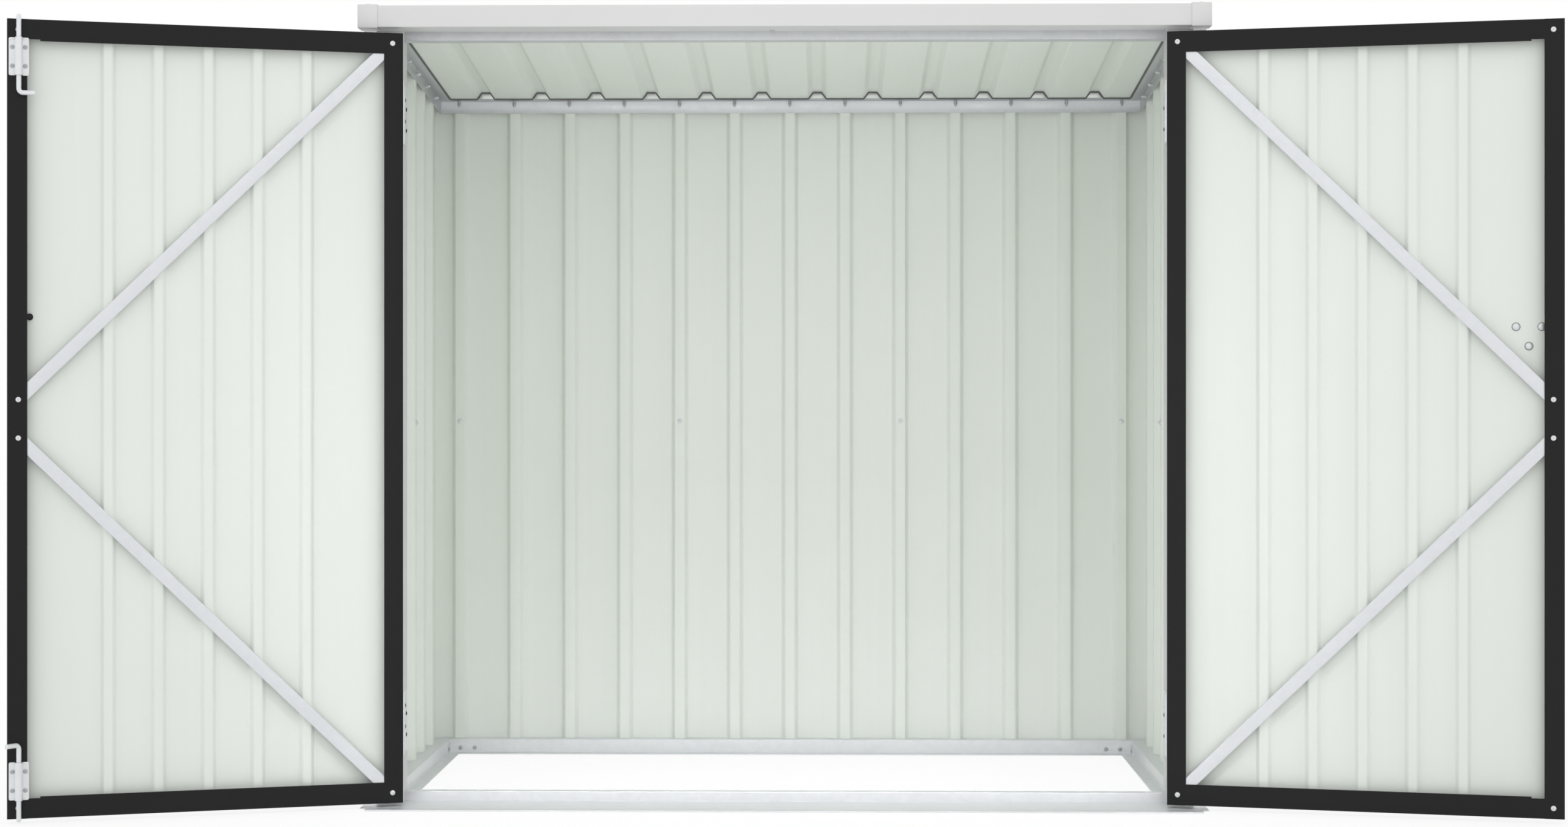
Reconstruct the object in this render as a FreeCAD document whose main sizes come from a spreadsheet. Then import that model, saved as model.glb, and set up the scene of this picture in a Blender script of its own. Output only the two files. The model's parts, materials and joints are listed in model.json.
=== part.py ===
# Metal garden tool cabinet with two hinged doors, in millimetres.
# It stands on Z = 0 with its front toward -Y, its centre plane at X = 0 and its
# origin under the middle of the threshold.
# The doors stand open, as they do at rest, and the bolts and the latch are drawn back.

import math
import os

import FreeCAD
import Part
import Sketcher

Vector = FreeCAD.Vector
Rotation = FreeCAD.Rotation
Placement = FreeCAD.Placement

SIZES = [
    # Base frame of folded rails
    ("inner_width", 1504),
    ("base_depth", 880),
    ("rail_height", 30),
    ("threshold_height", 20),
    ("rail_gauge", 1.5),
    ("rail_inner_flange", 24),
    ("rail_outer_flange", 18),
    ("wall_ledge_width", 23),
    ("sill_front", 108.5),
    ("sill_hem_height", 3),
    ("sill_hem_depth", 8),
    ("sill_end_inset", 14),
    ("sill_wing_setback", 26),
    ("front_recess", 17.5),
    ("front_rail_top", 21),
    ("bracket_gauge", 2),
    ("bracket_height", 20),
    ("bracket_rear_leg", 70),
    ("bracket_side_leg", 46),
    # Ribbed sheet of the walls and the roof
    ("sheet_gauge", 1),
    ("rib_depth", 14),
    ("rear_rib_margin", 20),
    ("side_rib_front_margin", 98.5),
    ("side_rib_rear_margin", 84),
    ("rib_crest_width", 21.5),
    ("rib_flank_width", 7),
    ("rib_lap_width", 8),
    ("lap_screw_height", 733),
    ("roof_rib_crest", 20),
    ("roof_rib_flank", 10),
    # Door jambs
    ("jamb_inset", 14.5),
    ("reveal_depth", 45),
    # Roof frame, tilted toward the rear
    ("roof_angle", 5),
    ("roof_over_lip_height", 11),
    ("door_head_gap", 12),
    ("top_rail_height", 28),
    ("top_flange_width", 24),
    ("top_screw_drop", 14),
    ("top_screw_point", 11),
    ("header_flange", 21),
    ("roof_front_reach", 69),
    ("roof_rear_overhang", 26),
    ("fascia_reach", 71),
    ("fascia_height", 42),
    ("fascia_gauge", 1.5),
    ("fascia_top_return", 26),
    ("trim_overhang", 25),
    ("trim_drop", 12),
    ("trim_rise", 20),
    ("trim_top_return", 14),
    ("trim_lip_width", 16),
    ("cap_length", 38),
    ("cap_wall", 2),
    # Doors
    ("door_height", 1475),
    ("door_clearance", 8),
    ("door_middle_gap", 4),
    ("door_depth", 23),
    ("door_jamb_gap", 1.5),
    ("left_open_angle", 163),
    ("right_open_angle", 167),
    ("stile_width", 36),
    ("bar_height", 40),
    ("relief_length", 23),
    ("relief_depth", 3),
    ("frame_gauge", 1.5),
    ("door_rib_depth", 9),
    ("door_rib_margin", 181),
    ("door_rib_crest", 16),
    ("door_rib_flank", 6),
    ("brace_width", 24),
    ("brace_gauge", 2),
    ("brace_end_length", 11),
    ("brace_spread_height", 71),
    ("screw_inset", 20),
    # Hinges
    ("hinge_length", 118),
    ("hinge_inset", 150),
    ("hinge_edge_gap", 3.5),
    ("pin_forward", 3),
    ("pin_radius", 2.2),
    ("pin_clearance", 0.05),
    ("pin_head", 1.5),
    ("knuckle_radius", 4),
    ("knuckle_gap", 0.4),
    ("leaf_gauge", 1.5),
    ("leaf_relief", 0.4),
    ("leaf_seat_depth", 35),
    # Tower bolts of the left door
    ("bolt_inset", 21),
    ("bolt_plate_width", 36),
    ("bolt_plate_height", 70),
    ("bolt_plate_gauge", 1.5),
    ("bolt_plate_inset", 35),
    ("bolt_rod_radius", 4.5),
    ("bolt_rod_clearance", 0.1),
    ("bolt_barrel_radius", 7),
    ("bolt_tip_out_length", 8),
    ("bolt_foot_out_length", 4.5),
    ("bolt_tail_length", 32),
    ("bolt_handle_length", 30),
    ("bolt_travel_length", 13),
    ("bolt_ring_radius", 5.8),
    ("bolt_ring_width", 3),
    ("bolt_groove_radius", 3.8),
    ("bolt_chamber_gap", 0.3),
    ("bolt_keeper_radius", 6),
    ("bottom_handle_angle", 40),
    ("bolt_screw_offset", 11.7),
    ("bolt_screw_height", 17.4),
    # Latch on the outside of the doors
    ("latch_height", 897),
    ("latch_plate_inset", 26),
    ("latch_plate_width", 72),
    ("latch_plate_height", 64),
    ("latch_plate_gauge", 2),
    ("latch_bar_length", 116),
    ("latch_bar_inset", 4),
    ("latch_bar_height", 16),
    ("latch_bar_gauge", 4),
    ("latch_bar_clearance", 0.3),
    ("latch_strap_width", 8),
    ("latch_strap_wall", 2),
    ("latch_strap_inset", 36),
    ("latch_strap_pitch", 32),
    ("latch_knob_radius", 6),
    ("latch_knob_length", 16),
    ("latch_knob_inset", 8),
    ("latch_bolt_inset", 40),
    ("latch_bolt_pitch", 46),
    ("latch_bolt_drop", 36),
    ("latch_bolt_rise", 19),
    ("latch_bolt_radius", 3),
    ("latch_head_radius", 6),
    ("latch_head_height", 4),
    ("latch_nut_radius", 6.4),
    ("latch_nut_height", 4),
    ("keeper_width", 44),
    ("keeper_height", 62),
    ("keeper_inset", 4),
    ("keeper_loop_inset", 6),
    ("keeper_loop_width", 10),
    ("keeper_stud_rise", 37),
    # Screws
    ("hole_clearance", 0.1),
    ("screw_head_radius", 5),
    ("screw_head_height", 3),
    ("screw_shank_radius", 2),
    ("panel_screw_point", 6),
    ("roof_screw_point", 16),
    ("roof_screw_radius", 2.4),
    ("roof_screw_head_radius", 6),
    ("roof_screw_head_height", 4),
    ("rail_screw_head_radius", 4.5),
    ("rail_screw_head_height", 3.5),
    ("small_screw_head_radius", 2.8),
    ("small_screw_head_height", 1.4),
    ("small_screw_radius", 1.6),
    ("leaf_screw_head_radius", 4),
    ("leaf_screw_head_height", 1.5),
    ("leaf_screw_outer_height", 29),
    ("leaf_screw_inner_height", 12),
    ("leaf_screw_inset", 12),
    ("leaf_screw_step_depth", 12),
]

doc = FreeCAD.newDocument("ToolCabinet")
sheet = doc.addObject("Spreadsheet::Sheet", "Sizes")
for row, (alias, number) in enumerate(SIZES, start=1):
    sheet.set(f"A{row}", alias)
    sheet.set(f"B{row}", str(number))
    sheet.setAlias(f"B{row}", alias)
doc.recompute()


class Dim:
    """A size with its present number and the sheet expression that gives it."""

    def __init__(self, number, text):
        self.number = float(number)
        self.text = text

    def __add__(self, other):
        other = as_dim(other)
        return Dim(self.number + other.number, f"({self.text} + {other.text})")

    def __sub__(self, other):
        other = as_dim(other)
        return Dim(self.number - other.number, f"({self.text} - {other.text})")

    def __mul__(self, other):
        other = as_dim(other)
        return Dim(self.number * other.number, f"({self.text} * {other.text})")

    def __truediv__(self, other):
        other = as_dim(other)
        return Dim(self.number / other.number, f"({self.text} / {other.text})")

    def __neg__(self):
        return Dim(-self.number, f"(-1 * {self.text})")

    def __radd__(self, other):
        return as_dim(other) + self

    def __rsub__(self, other):
        return as_dim(other) - self

    def __rmul__(self, other):
        return as_dim(other) * self

    def __float__(self):
        return self.number


def as_dim(value):
    if isinstance(value, Dim):
        return value
    return Dim(value, f"({value:.9g})")


class SheetSizes:
    """Gives each cell of the sheet as a Dim, by its alias."""

    def __getattr__(self, alias):
        return Dim(sheet.get(alias), f"Sizes.{alias}")


size = SheetSizes()
nodes = {}
parts_made = [0]


def make(kind):
    parts_made[0] += 1
    return doc.addObject(kind, f"Piece{parts_made[0]}")


def node(name, thing):
    thing.Label = name
    nodes[name] = thing
    return thing


def at(x=0, y=0, z=0, turn=None):
    return Placement(Vector(float(x), float(y), float(z)), turn or Rotation())


ALONG_X = Rotation(Vector(1, 1, 1), 120)
TOWARD_FRONT = Rotation(Vector(1, 0, 0), 90)
TOWARD_REAR = Rotation(Vector(1, 0, 0), -90)
UPSIDE_DOWN = Rotation(Vector(1, 0, 0), 180)
GROUND = Placement()


def box(lengths, corner, frame=GROUND):
    piece = make("Part::Box")
    for name, length in zip(("Length", "Width", "Height"), lengths):
        piece.setExpression(name, as_dim(length).text)
    piece.Placement = frame * at(*corner)
    return piece


def cylinder(radius, length, place):
    piece = make("Part::Cylinder")
    piece.setExpression("Radius", as_dim(radius).text)
    piece.setExpression("Height", as_dim(length).text)
    piece.Placement = place
    return piece


def outline(points, length, place):
    """A closed outline, sketched point by point, padded to a length."""
    body = make("PartDesign::Body")
    sketch = body.newObject("Sketcher::SketchObject", body.Name + "Sketch")
    plane = [p for p in body.Origin.OriginFeatures if p.Role == "XY_Plane"][0]
    sketch.AttachmentSupport = (plane, [""])
    sketch.MapMode = "FlatFace"
    corners = [(as_dim(x), as_dim(y)) for x, y in points]
    vectors = [Vector(x.number, y.number, 0) for x, y in corners]
    count = len(corners)
    lines = [Part.LineSegment(vectors[i], vectors[(i + 1) % count]) for i in range(count)]
    sketch.addGeometry(lines, False)
    joined = [Sketcher.Constraint("Coincident", i, 2, (i + 1) % count, 1) for i in range(count)]
    sketch.addConstraint(joined)
    placed = []
    for i, (x, y) in enumerate(corners):
        placed.append(Sketcher.Constraint("DistanceX", -1, 1, i, 1, x.number))
        placed.append(Sketcher.Constraint("DistanceY", -1, 1, i, 1, y.number))
    sketch.addConstraint(placed)
    for i, (x, y) in enumerate(corners):
        sketch.setExpression(f"Constraints[{count + 2 * i}]", x.text)
        sketch.setExpression(f"Constraints[{count + 2 * i + 1}]", y.text)
    pad = body.newObject("PartDesign::Pad", body.Name + "Pad")
    pad.Profile = sketch
    pad.setExpression("Length", as_dim(length).text)
    body.Placement = place
    return body


def turned(points, place):
    """A round piece: its half outline, radius by height, turned about its axis."""
    body = make("PartDesign::Body")
    sketch = body.newObject("Sketcher::SketchObject", body.Name + "Sketch")
    plane = [p for p in body.Origin.OriginFeatures if p.Role == "XZ_Plane"][0]
    sketch.AttachmentSupport = (plane, [""])
    sketch.MapMode = "FlatFace"
    corners = [(as_dim(x), as_dim(y)) for x, y in points]
    vectors = [Vector(x.number, y.number, 0) for x, y in corners]
    count = len(corners)
    lines = [Part.LineSegment(vectors[i], vectors[(i + 1) % count]) for i in range(count)]
    sketch.addGeometry(lines, False)
    joined = [Sketcher.Constraint("Coincident", i, 2, (i + 1) % count, 1) for i in range(count)]
    sketch.addConstraint(joined)
    placed = []
    for i, (x, y) in enumerate(corners):
        placed.append(Sketcher.Constraint("DistanceX", -1, 1, i, 1, x.number))
        placed.append(Sketcher.Constraint("DistanceY", -1, 1, i, 1, y.number))
    sketch.addConstraint(placed)
    for i, (x, y) in enumerate(corners):
        sketch.setExpression(f"Constraints[{count + 2 * i}]", x.text)
        sketch.setExpression(f"Constraints[{count + 2 * i + 1}]", y.text)
    revolution = body.newObject("PartDesign::Revolution", body.Name + "Turn")
    revolution.Profile = sketch
    revolution.ReferenceAxis = (sketch, ["V_Axis"])
    revolution.Angle = 360
    body.Placement = place
    return body


def fuse(pieces):
    result = make("Part::MultiFuse")
    result.Shapes = pieces
    result.Refine = True
    return result


def cut(base, tool):
    result = make("Part::Cut")
    result.Base = base
    result.Tool = tool
    return result


def copies(master, places):
    """One piece set down at several places, as separate solids."""
    doc.recompute()
    solids = []
    for place in places:
        solid = master.Shape.copy()
        solid.Placement = place
        solids.append(solid)
    result = make("Part::Feature")
    result.Shape = Part.Compound(solids)
    return result


def drilled(base, radius, length, places):
    """Round holes through a piece; each place is a hole's start and direction."""
    drill = cylinder(radius, length, GROUND)
    return cut(base, copies(drill, places))


def screw(head_radius, head_height, shank_radius, shank_length, point=0):
    """A screw at its seat: the head rises to +Z, the shank goes down."""
    end = -1 * as_dim(shank_length)
    crown = as_dim(head_radius) * 0.6
    points = [
        (0, head_height),
        (crown, head_height),
        (head_radius, as_dim(head_height) * 0.45),
        (head_radius, 0),
        (shank_radius, 0),
        (shank_radius, end),
    ]
    if float(point) > 0:
        points.append((0.3, end - point))
        points.append((0, end - point))
    else:
        points.append((0, end))
    return turned(points, GROUND)


def folded(inner, gauge):
    """A folded sheet: the inner line, and the same line moved out by the gauge."""
    outer = [(x + gauge * step_x, y + gauge * step_y) for x, y, step_x, step_y in inner]
    return [(x, y) for x, y, step_x, step_y in inner] + outer[::-1]


# Lines that several pieces share
half_inner = size.inner_width / 2
half_crest = half_inner + size.wall_ledge_width
half_pan = half_crest + size.rib_depth
half_wall = half_pan + size.sheet_gauge
half_base = half_wall + size.rail_outer_flange
half_opening = half_inner - size.jamb_inset
front_edge = -1 * (size.sill_front + size.front_recess) / 2
rear_edge = front_edge + size.base_depth
jamb_front = front_edge + size.sill_front
front_web = jamb_front + size.front_recess
reveal_end = jamb_front + size.reveal_depth
rear_outer_web = rear_edge - size.rail_outer_flange
rear_pan = rear_outer_web - size.sheet_gauge
rear_crest = rear_pan - size.rib_depth
rear_web = rear_crest - size.wall_ledge_width
rib_pitch = (half_inner - size.rear_rib_margin) / 6
first_side_rib = reveal_end + size.side_rib_front_margin
last_side_rib = rear_web - size.side_rib_rear_margin
side_rib_pitch = (last_side_rib - first_side_rib) / 4
side_lap_y = first_side_rib + 2 * side_rib_pitch
half_rib = size.rib_crest_width / 2
rib_foot = half_rib + size.rib_flank_width


def hat_section(side):
    """Half across the wall line: flange on the ground, web, ledge, web, flange."""
    gauge = size.rail_gauge
    top = size.rail_height
    start = half_inner - size.rail_inner_flange
    points = [
        (start, 0),
        (half_inner + gauge, 0),
        (half_inner + gauge, top - gauge),
        (half_wall - gauge, top - gauge),
        (half_wall - gauge, 0),
        (half_base, 0),
        (half_base, gauge),
        (half_wall, gauge),
        (half_wall, top),
        (half_inner, top),
        (half_inner, gauge),
        (start, gauge),
    ]
    return [(side * x, y) for x, y in points]


# Base rails
side_rail_length = rear_web - reveal_end
for side, word in ((-1, "left"), (1, "right")):
    node(f"{word}_base_rail", outline(
        hat_section(side), side_rail_length, at(0, rear_web, 0, TOWARD_FRONT)))

gauge = size.rail_gauge
rear_flange_half = half_inner - size.rail_inner_flange
rear_rise = [
    (rear_web, 0),
    (rear_web + gauge, 0),
    (rear_web + gauge, size.rail_height - gauge),
    (rear_outer_web - gauge, size.rail_height - gauge),
    (rear_outer_web - gauge, 0),
    (rear_edge, 0),
    (rear_edge, gauge),
    (rear_outer_web, gauge),
    (rear_outer_web, size.rail_height),
    (rear_web, size.rail_height),
]
rear_hat = outline(rear_rise, 2 * half_base, at(-half_base, 0, 0, ALONG_X))
rear_flange = box(
    (2 * rear_flange_half, size.rail_inner_flange, gauge),
    (-rear_flange_half, rear_web - size.rail_inner_flange, 0))
node("rear_base_rail", fuse([rear_hat, rear_flange]))

sill_half = half_base - size.sill_end_inset
sill_plan = [
    (-sill_half, front_edge),
    (sill_half, front_edge),
    (sill_half, front_edge + size.sill_wing_setback),
    (half_base, front_edge + size.sill_wing_setback),
    (half_base, reveal_end),
    (half_opening, reveal_end),
    (half_opening, front_web),
    (-half_opening, front_web),
    (-half_opening, reveal_end),
    (-half_base, reveal_end),
    (-half_base, front_edge + size.sill_wing_setback),
    (-sill_half, front_edge + size.sill_wing_setback),
]
sill = outline(sill_plan, gauge, GROUND)
sill_hem = box(
    (2 * sill_half, size.sill_hem_depth, size.sill_hem_height), (-sill_half, front_edge, 0))
front_rise = [
    (front_web, 0),
    (front_web + gauge, 0),
    (front_web + gauge, size.threshold_height - gauge),
    (front_web + size.front_rail_top - gauge, size.threshold_height - gauge),
    (front_web + size.front_rail_top - gauge, 0),
    (front_web + size.front_rail_top, 0),
    (front_web + size.front_rail_top, size.threshold_height),
    (front_web, size.threshold_height),
]
front_hat = outline(front_rise, 2 * half_opening, at(-half_opening, 0, 0, ALONG_X))
front_rail = fuse([sill, sill_hem, front_hat])

# Hinge axes and the doors' own frames: x runs from the hinge to the free edge, y to the inside
pin_x = half_opening - size.knuckle_radius
door_width = pin_x - size.hinge_edge_gap - size.door_middle_gap / 2
door_outer = size.pin_forward
door_inner = door_outer + size.door_depth
pin_y = jamb_front - size.door_jamb_gap - door_inner
bolt_axis_x = size.hinge_edge_gap + door_width - size.bolt_inset
bolt_axis_y = door_inner + size.bolt_plate_gauge + size.bolt_barrel_radius
keeper_x = -pin_x + bolt_axis_x
keeper_y = pin_y + bolt_axis_y
door_bottom = size.door_clearance
door_top = door_bottom + size.door_height
fascia_bottom = door_top + size.door_head_gap
roof_front_height = fascia_bottom + size.roof_over_lip_height

node("front_base_rail", drilled(
    front_rail, size.bolt_keeper_radius, size.threshold_height, [at(keeper_x, keeper_y, -gauge)]))

# Roof frame: u across, v down the slope to the rear, w square to the roof, from the header's face
slope = Rotation(Vector(1, 0, 0), -float(size.roof_angle))
roof = Placement(Vector(0, float(front_web), float(roof_front_height)), slope)
slope_cosine = math.cos(math.radians(float(size.roof_angle)))
slope_sine = math.sin(math.radians(float(size.roof_angle)))


def roof_reach(y, drop=0):
    """Distance down the slope to a place y of the cabinet, at a drop below the roof sheet."""
    return (as_dim(y) - front_web + as_dim(drop) * slope_sine) / slope_cosine


top_low = -1 * size.top_rail_height
rear_outer_v = roof_reach(rear_outer_web, size.top_rail_height)
side_top_start = roof_reach(reveal_end)

header_section = [
    (0, top_low),
    (size.header_flange, top_low),
    (size.header_flange, top_low + gauge),
    (gauge, top_low + gauge),
    (gauge, -gauge),
    (size.header_flange, -gauge),
    (size.header_flange, 0),
    (0, 0),
]
header = outline(
    header_section, 2 * half_opening, roof * at(-half_opening, 0, 0, ALONG_X))

# Rear and side top rails: angles, the web upright against the walls' crests, the flange under the
# roof
rear_face = rear_crest - gauge
rear_flange_v = roof_reach(rear_face) - size.top_flange_width
rear_top_section = [
    (rear_flange_v, 0),
    (roof_reach(rear_crest), 0),
    (roof_reach(rear_crest, size.top_rail_height), top_low),
    (roof_reach(rear_face, size.top_rail_height), top_low),
    (roof_reach(rear_face, gauge), -gauge),
    (rear_flange_v, -gauge),
]
side_face = half_crest - gauge
rear_top_rail = outline(
    rear_top_section, 2 * side_face, roof * at(-side_face, 0, 0, ALONG_X))
trim_outer = half_wall + size.trim_overhang


def top_angle_section(side):
    flange_edge = side_face - size.top_flange_width
    points = [
        (flange_edge, 0),
        (half_crest, 0),
        (half_crest, top_low),
        (side_face, top_low),
        (side_face, -gauge),
        (flange_edge, -gauge),
    ]
    return [(side * x, y) for x, y in points]


side_top_length = rear_flange_v - side_top_start
side_tops = {}
for side in (-1, 1):
    side_angle = outline(
        top_angle_section(side), side_top_length, roof * at(0, rear_flange_v, 0, TOWARD_FRONT))
    web_end = box(
        (gauge, roof_reach(rear_crest) - rear_flange_v, size.top_rail_height),
        (side_face if side > 0 else -half_crest, rear_flange_v, top_low), roof)
    side_tops[side] = fuse([side_angle, web_end])

# Wall sheets: plan outlines raised to full height, then cut by what they stand on and meet
wall_height = roof_front_height
header_lean = (roof_front_height - fascia_bottom) * math.tan(
    math.radians(float(size.roof_angle)))
lip_end = front_web - header_lean
under_roof = box(
    (2 * half_base, 2 * size.base_depth, wall_height),
    (-half_base, -1 * size.roof_front_reach, 0), roof)
under_fascia = box(
    (2 * half_base, lip_end - front_edge, wall_height),
    (-half_base, front_edge, fascia_bottom))
side_ribs = [first_side_rib + side_rib_pitch * step for step in range(5)]

# Screws through the side walls' crests and the top rails' webs, their points inside
top_screw_low = -1 * size.top_screw_drop
top_screw_places = {-1: [], 1: []}
for side in (-1, 1):
    for index, y in enumerate(side_ribs):
        layers = 2 if index == 2 else 1
        top_screw_places[side].append(roof * at(
            side * (half_crest + layers * size.sheet_gauge),
            roof_reach(y, size.top_screw_drop), top_screw_low,
            Rotation(Vector(0, 1, 0), 90 * side)))


def side_rib(side, y, direction=1):
    """Inner line of one rib of a side wall, front to rear or rear to front."""
    points = [
        (side * half_pan, y - rib_foot, side, 0),
        (side * half_crest, y - half_rib, side, 0),
        (side * half_crest, y + half_rib, side, 0),
        (side * half_pan, y + rib_foot, side, 0),
    ]
    return points[::direction]


def back_rib(x):
    return [
        (x - rib_foot, rear_pan, 0, 1),
        (x - half_rib, rear_crest, 0, 1),
        (x + half_rib, rear_crest, 0, 1),
        (x + rib_foot, rear_pan, 0, 1),
    ]


back_ribs = [rib_pitch * step for step in range(-6, 7)]
lap_crest = rear_crest + size.sheet_gauge
lap_side = half_crest + size.sheet_gauge
under_side_wall = box(
    (2 * half_base, size.base_depth, size.rail_height), (-half_base, reveal_end, 0))
panel_hole = size.screw_shank_radius + size.hole_clearance
side_lap_places = {
    side: at(side * half_base, side_lap_y, size.lap_screw_height,
             Rotation(Vector(0, 1, 0), -90 * side))
    for side in (-1, 1)
}
back_lap_ribs = [back_ribs[index] for index in (0, 4, 8, 12)]
back_lap_places = [
    at(x, rear_edge, size.lap_screw_height, TOWARD_FRONT) for x in back_lap_ribs
]
side_drill = size.rail_outer_flange + size.rib_depth + 3 * size.sheet_gauge
through = 4 * gauge
top_holes = {
    side: [place * at(0, 0, -3 * gauge) for place in top_screw_places[side]] for side in (-1, 1)
}

for side, word in ((-1, "left"), (1, "right")):
    jamb_line = [
        (side * (half_opening + size.sheet_gauge), reveal_end, -side, 0),
        (side * (half_opening + size.sheet_gauge), jamb_front + size.sheet_gauge, -side, -1),
        (side * half_pan, jamb_front + size.sheet_gauge, side, -1),
    ]
    for y in side_ribs[:2]:
        jamb_line = jamb_line + side_rib(side, y)
    jamb_line = jamb_line + side_rib(side, side_ribs[2])[:3]
    front_panel = outline(folded(jamb_line, size.sheet_gauge), wall_height, at(0, 0, gauge))
    front_panel = cut(front_panel, under_side_wall)
    front_panel = cut(front_panel, under_fascia)
    front_panel = cut(front_panel, under_roof)
    front_panel = drilled(front_panel, panel_hole, through, top_holes[side][:3])
    node(f"front_{word}_panel", drilled(
        front_panel, panel_hole, side_drill, [side_lap_places[side]]))

    corner_line = [
        (side * lap_side, side_lap_y - size.rib_lap_width, side, 0),
        (side * lap_side, side_lap_y + half_rib, side, 0),
        (side * half_pan, side_lap_y + rib_foot, side, 0),
    ]
    for y in side_ribs[3:]:
        corner_line = corner_line + side_rib(side, y)
    corner_line = corner_line + [(side * half_pan, rear_pan, side, 1)]
    if side < 0:
        corner_line = corner_line + back_rib(back_ribs[0])[:3]
    else:
        corner_line = corner_line + [
            (back_ribs[12] + rib_foot, rear_pan, 0, 1),
            (back_ribs[12] + half_rib, lap_crest, 0, 1),
            (back_ribs[12] - size.rib_lap_width, lap_crest, 0, 1),
        ]
    rear_panel = outline(
        folded(corner_line, size.sheet_gauge), wall_height, at(0, 0, size.rail_height))
    rear_panel = cut(rear_panel, under_roof)
    rear_panel = drilled(rear_panel, panel_hole, through, top_holes[side][2:])
    rear_panel = drilled(rear_panel, panel_hole, side_drill, [side_lap_places[side]])
    edge_place = back_lap_places[0] if side < 0 else back_lap_places[3]
    node(f"rear_{word}_panel", drilled(rear_panel, panel_hole, side_drill, [edge_place]))

for first, word in ((0, "left"), (4, "centre"), (8, "right")):
    back_line = [
        (back_ribs[first] - size.rib_lap_width, lap_crest, 0, 1),
        (back_ribs[first] + half_rib, lap_crest, 0, 1),
        (back_ribs[first] + rib_foot, rear_pan, 0, 1),
    ]
    for x in back_ribs[first + 1:first + 4]:
        back_line = back_line + back_rib(x)
    back_line = back_line + back_rib(back_ribs[first + 4])[:3]
    back_sheet = outline(
        folded(back_line, size.sheet_gauge), wall_height, at(0, 0, size.rail_height))
    back_sheet = cut(back_sheet, under_roof)
    node(f"back_{word}_sheet", drilled(
        back_sheet, panel_hole, side_drill,
        [back_lap_places[first // 4], back_lap_places[first // 4 + 1]]))

# Corner brackets in the rear bottom corners
rail_screw = screw(
    size.rail_screw_head_radius, size.rail_screw_head_height,
    size.screw_shank_radius, size.bracket_gauge)
bracket_screw_places = []
bracket_z = gauge + size.bracket_height / 2
for side, word in ((-1, "left"), (1, "right")):
    corner = half_inner
    bracket_line = [
        (side * corner, rear_web - size.bracket_side_leg),
        (side * corner, rear_web),
        (side * (corner - size.bracket_rear_leg), rear_web),
        (side * (corner - size.bracket_rear_leg), rear_web - size.bracket_gauge),
        (side * (corner - size.bracket_gauge), rear_web - size.bracket_gauge),
        (side * (corner - size.bracket_gauge), rear_web - size.bracket_side_leg),
    ]
    bracket = outline(bracket_line, size.bracket_height, at(0, 0, gauge))
    rear_places = [
        at(side * (corner - size.bracket_rear_leg * share), rear_web - size.bracket_gauge,
           bracket_z, TOWARD_FRONT)
        for share in (0.36, 0.8)
    ]
    side_place = at(
        side * (corner - size.bracket_gauge), rear_web - size.bracket_side_leg * 0.65,
        bracket_z, Rotation(Vector(0, 1, 0), -90 * side))
    bracket_screw_places = bracket_screw_places + rear_places + [side_place]
    bracket_hole = size.screw_shank_radius + size.hole_clearance
    sunk = [place * at(0, 0, -2 * size.bracket_gauge) for place in rear_places + [side_place]]
    node(f"{word}_corner_bracket", drilled(
        bracket, bracket_hole, 3 * size.bracket_gauge, sunk))

# Side top rails, and the screws that hold them to the walls
for side, word in ((-1, "left"), (1, "right")):
    node(f"{word}_top_rail", drilled(side_tops[side], panel_hole, through, top_holes[side]))
top_screw = screw(
    size.rail_screw_head_radius, size.rail_screw_head_height, size.screw_shank_radius,
    size.sheet_gauge + gauge + size.top_screw_point * 0.6, size.top_screw_point * 0.4)
rail_screws = copies(top_screw, top_screw_places[-1] + top_screw_places[1])
bracket_screws = copies(rail_screw, bracket_screw_places)
doc.recompute()
rail_screw_group = make("Part::Compound")
rail_screw_group.Links = [rail_screws, bracket_screws]
node("rail_screws", rail_screw_group)

# Roof sheet, ribs upward, and its screws through the pans into the header and the rear rail
roof_half = half_wall + size.trim_overhang - size.fascia_gauge
roof_rib_half = size.roof_rib_crest / 2
roof_rib_foot = roof_rib_half + size.roof_rib_flank
roof_line = [(-roof_half, as_dim(0), 0, 1)]
for step in range(-6, 6):
    u = rib_pitch * (step + 0.5)
    roof_line = roof_line + [
        (u - roof_rib_foot, as_dim(0), 0, 1),
        (u - roof_rib_half, size.rib_depth, 0, 1),
        (u + roof_rib_half, size.rib_depth, 0, 1),
        (u + roof_rib_foot, as_dim(0), 0, 1),
    ]
roof_line = roof_line + [(roof_half, as_dim(0), 0, 1)]
roof_end = rear_outer_v + size.roof_rear_overhang
roof_length = roof_end + size.roof_front_reach
roof_sheet = outline(
    folded(roof_line, size.sheet_gauge), roof_length, roof * at(0, roof_end, 0, TOWARD_FRONT))
rear_screw_v = rear_flange_v + size.top_flange_width / 2
header_screw_v = size.header_flange / 2
rear_screw_places = [
    roof * at(x, rear_screw_v, size.sheet_gauge) for x in back_ribs
]
header_screw_places = [roof * at(x, header_screw_v, size.sheet_gauge) for x in back_ribs[1:-1]]
roof_hole = size.roof_screw_radius + size.hole_clearance
rear_holes = [place * at(0, 0, -3 * gauge) for place in rear_screw_places]
header_holes = [place * at(0, 0, -3 * gauge) for place in header_screw_places]
node("roof_sheet", drilled(roof_sheet, roof_hole, through, rear_holes + header_holes))
node("rear_top_rail", drilled(rear_top_rail, roof_hole, through, rear_holes))
node("header_rail", drilled(header, roof_hole, through, header_holes))
roof_screw = screw(
    size.roof_screw_head_radius, size.roof_screw_head_height, size.roof_screw_radius,
    size.sheet_gauge + gauge + size.roof_screw_point * 0.6, size.roof_screw_point * 0.4)
node("roof_screws", copies(roof_screw, rear_screw_places + header_screw_places))

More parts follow.
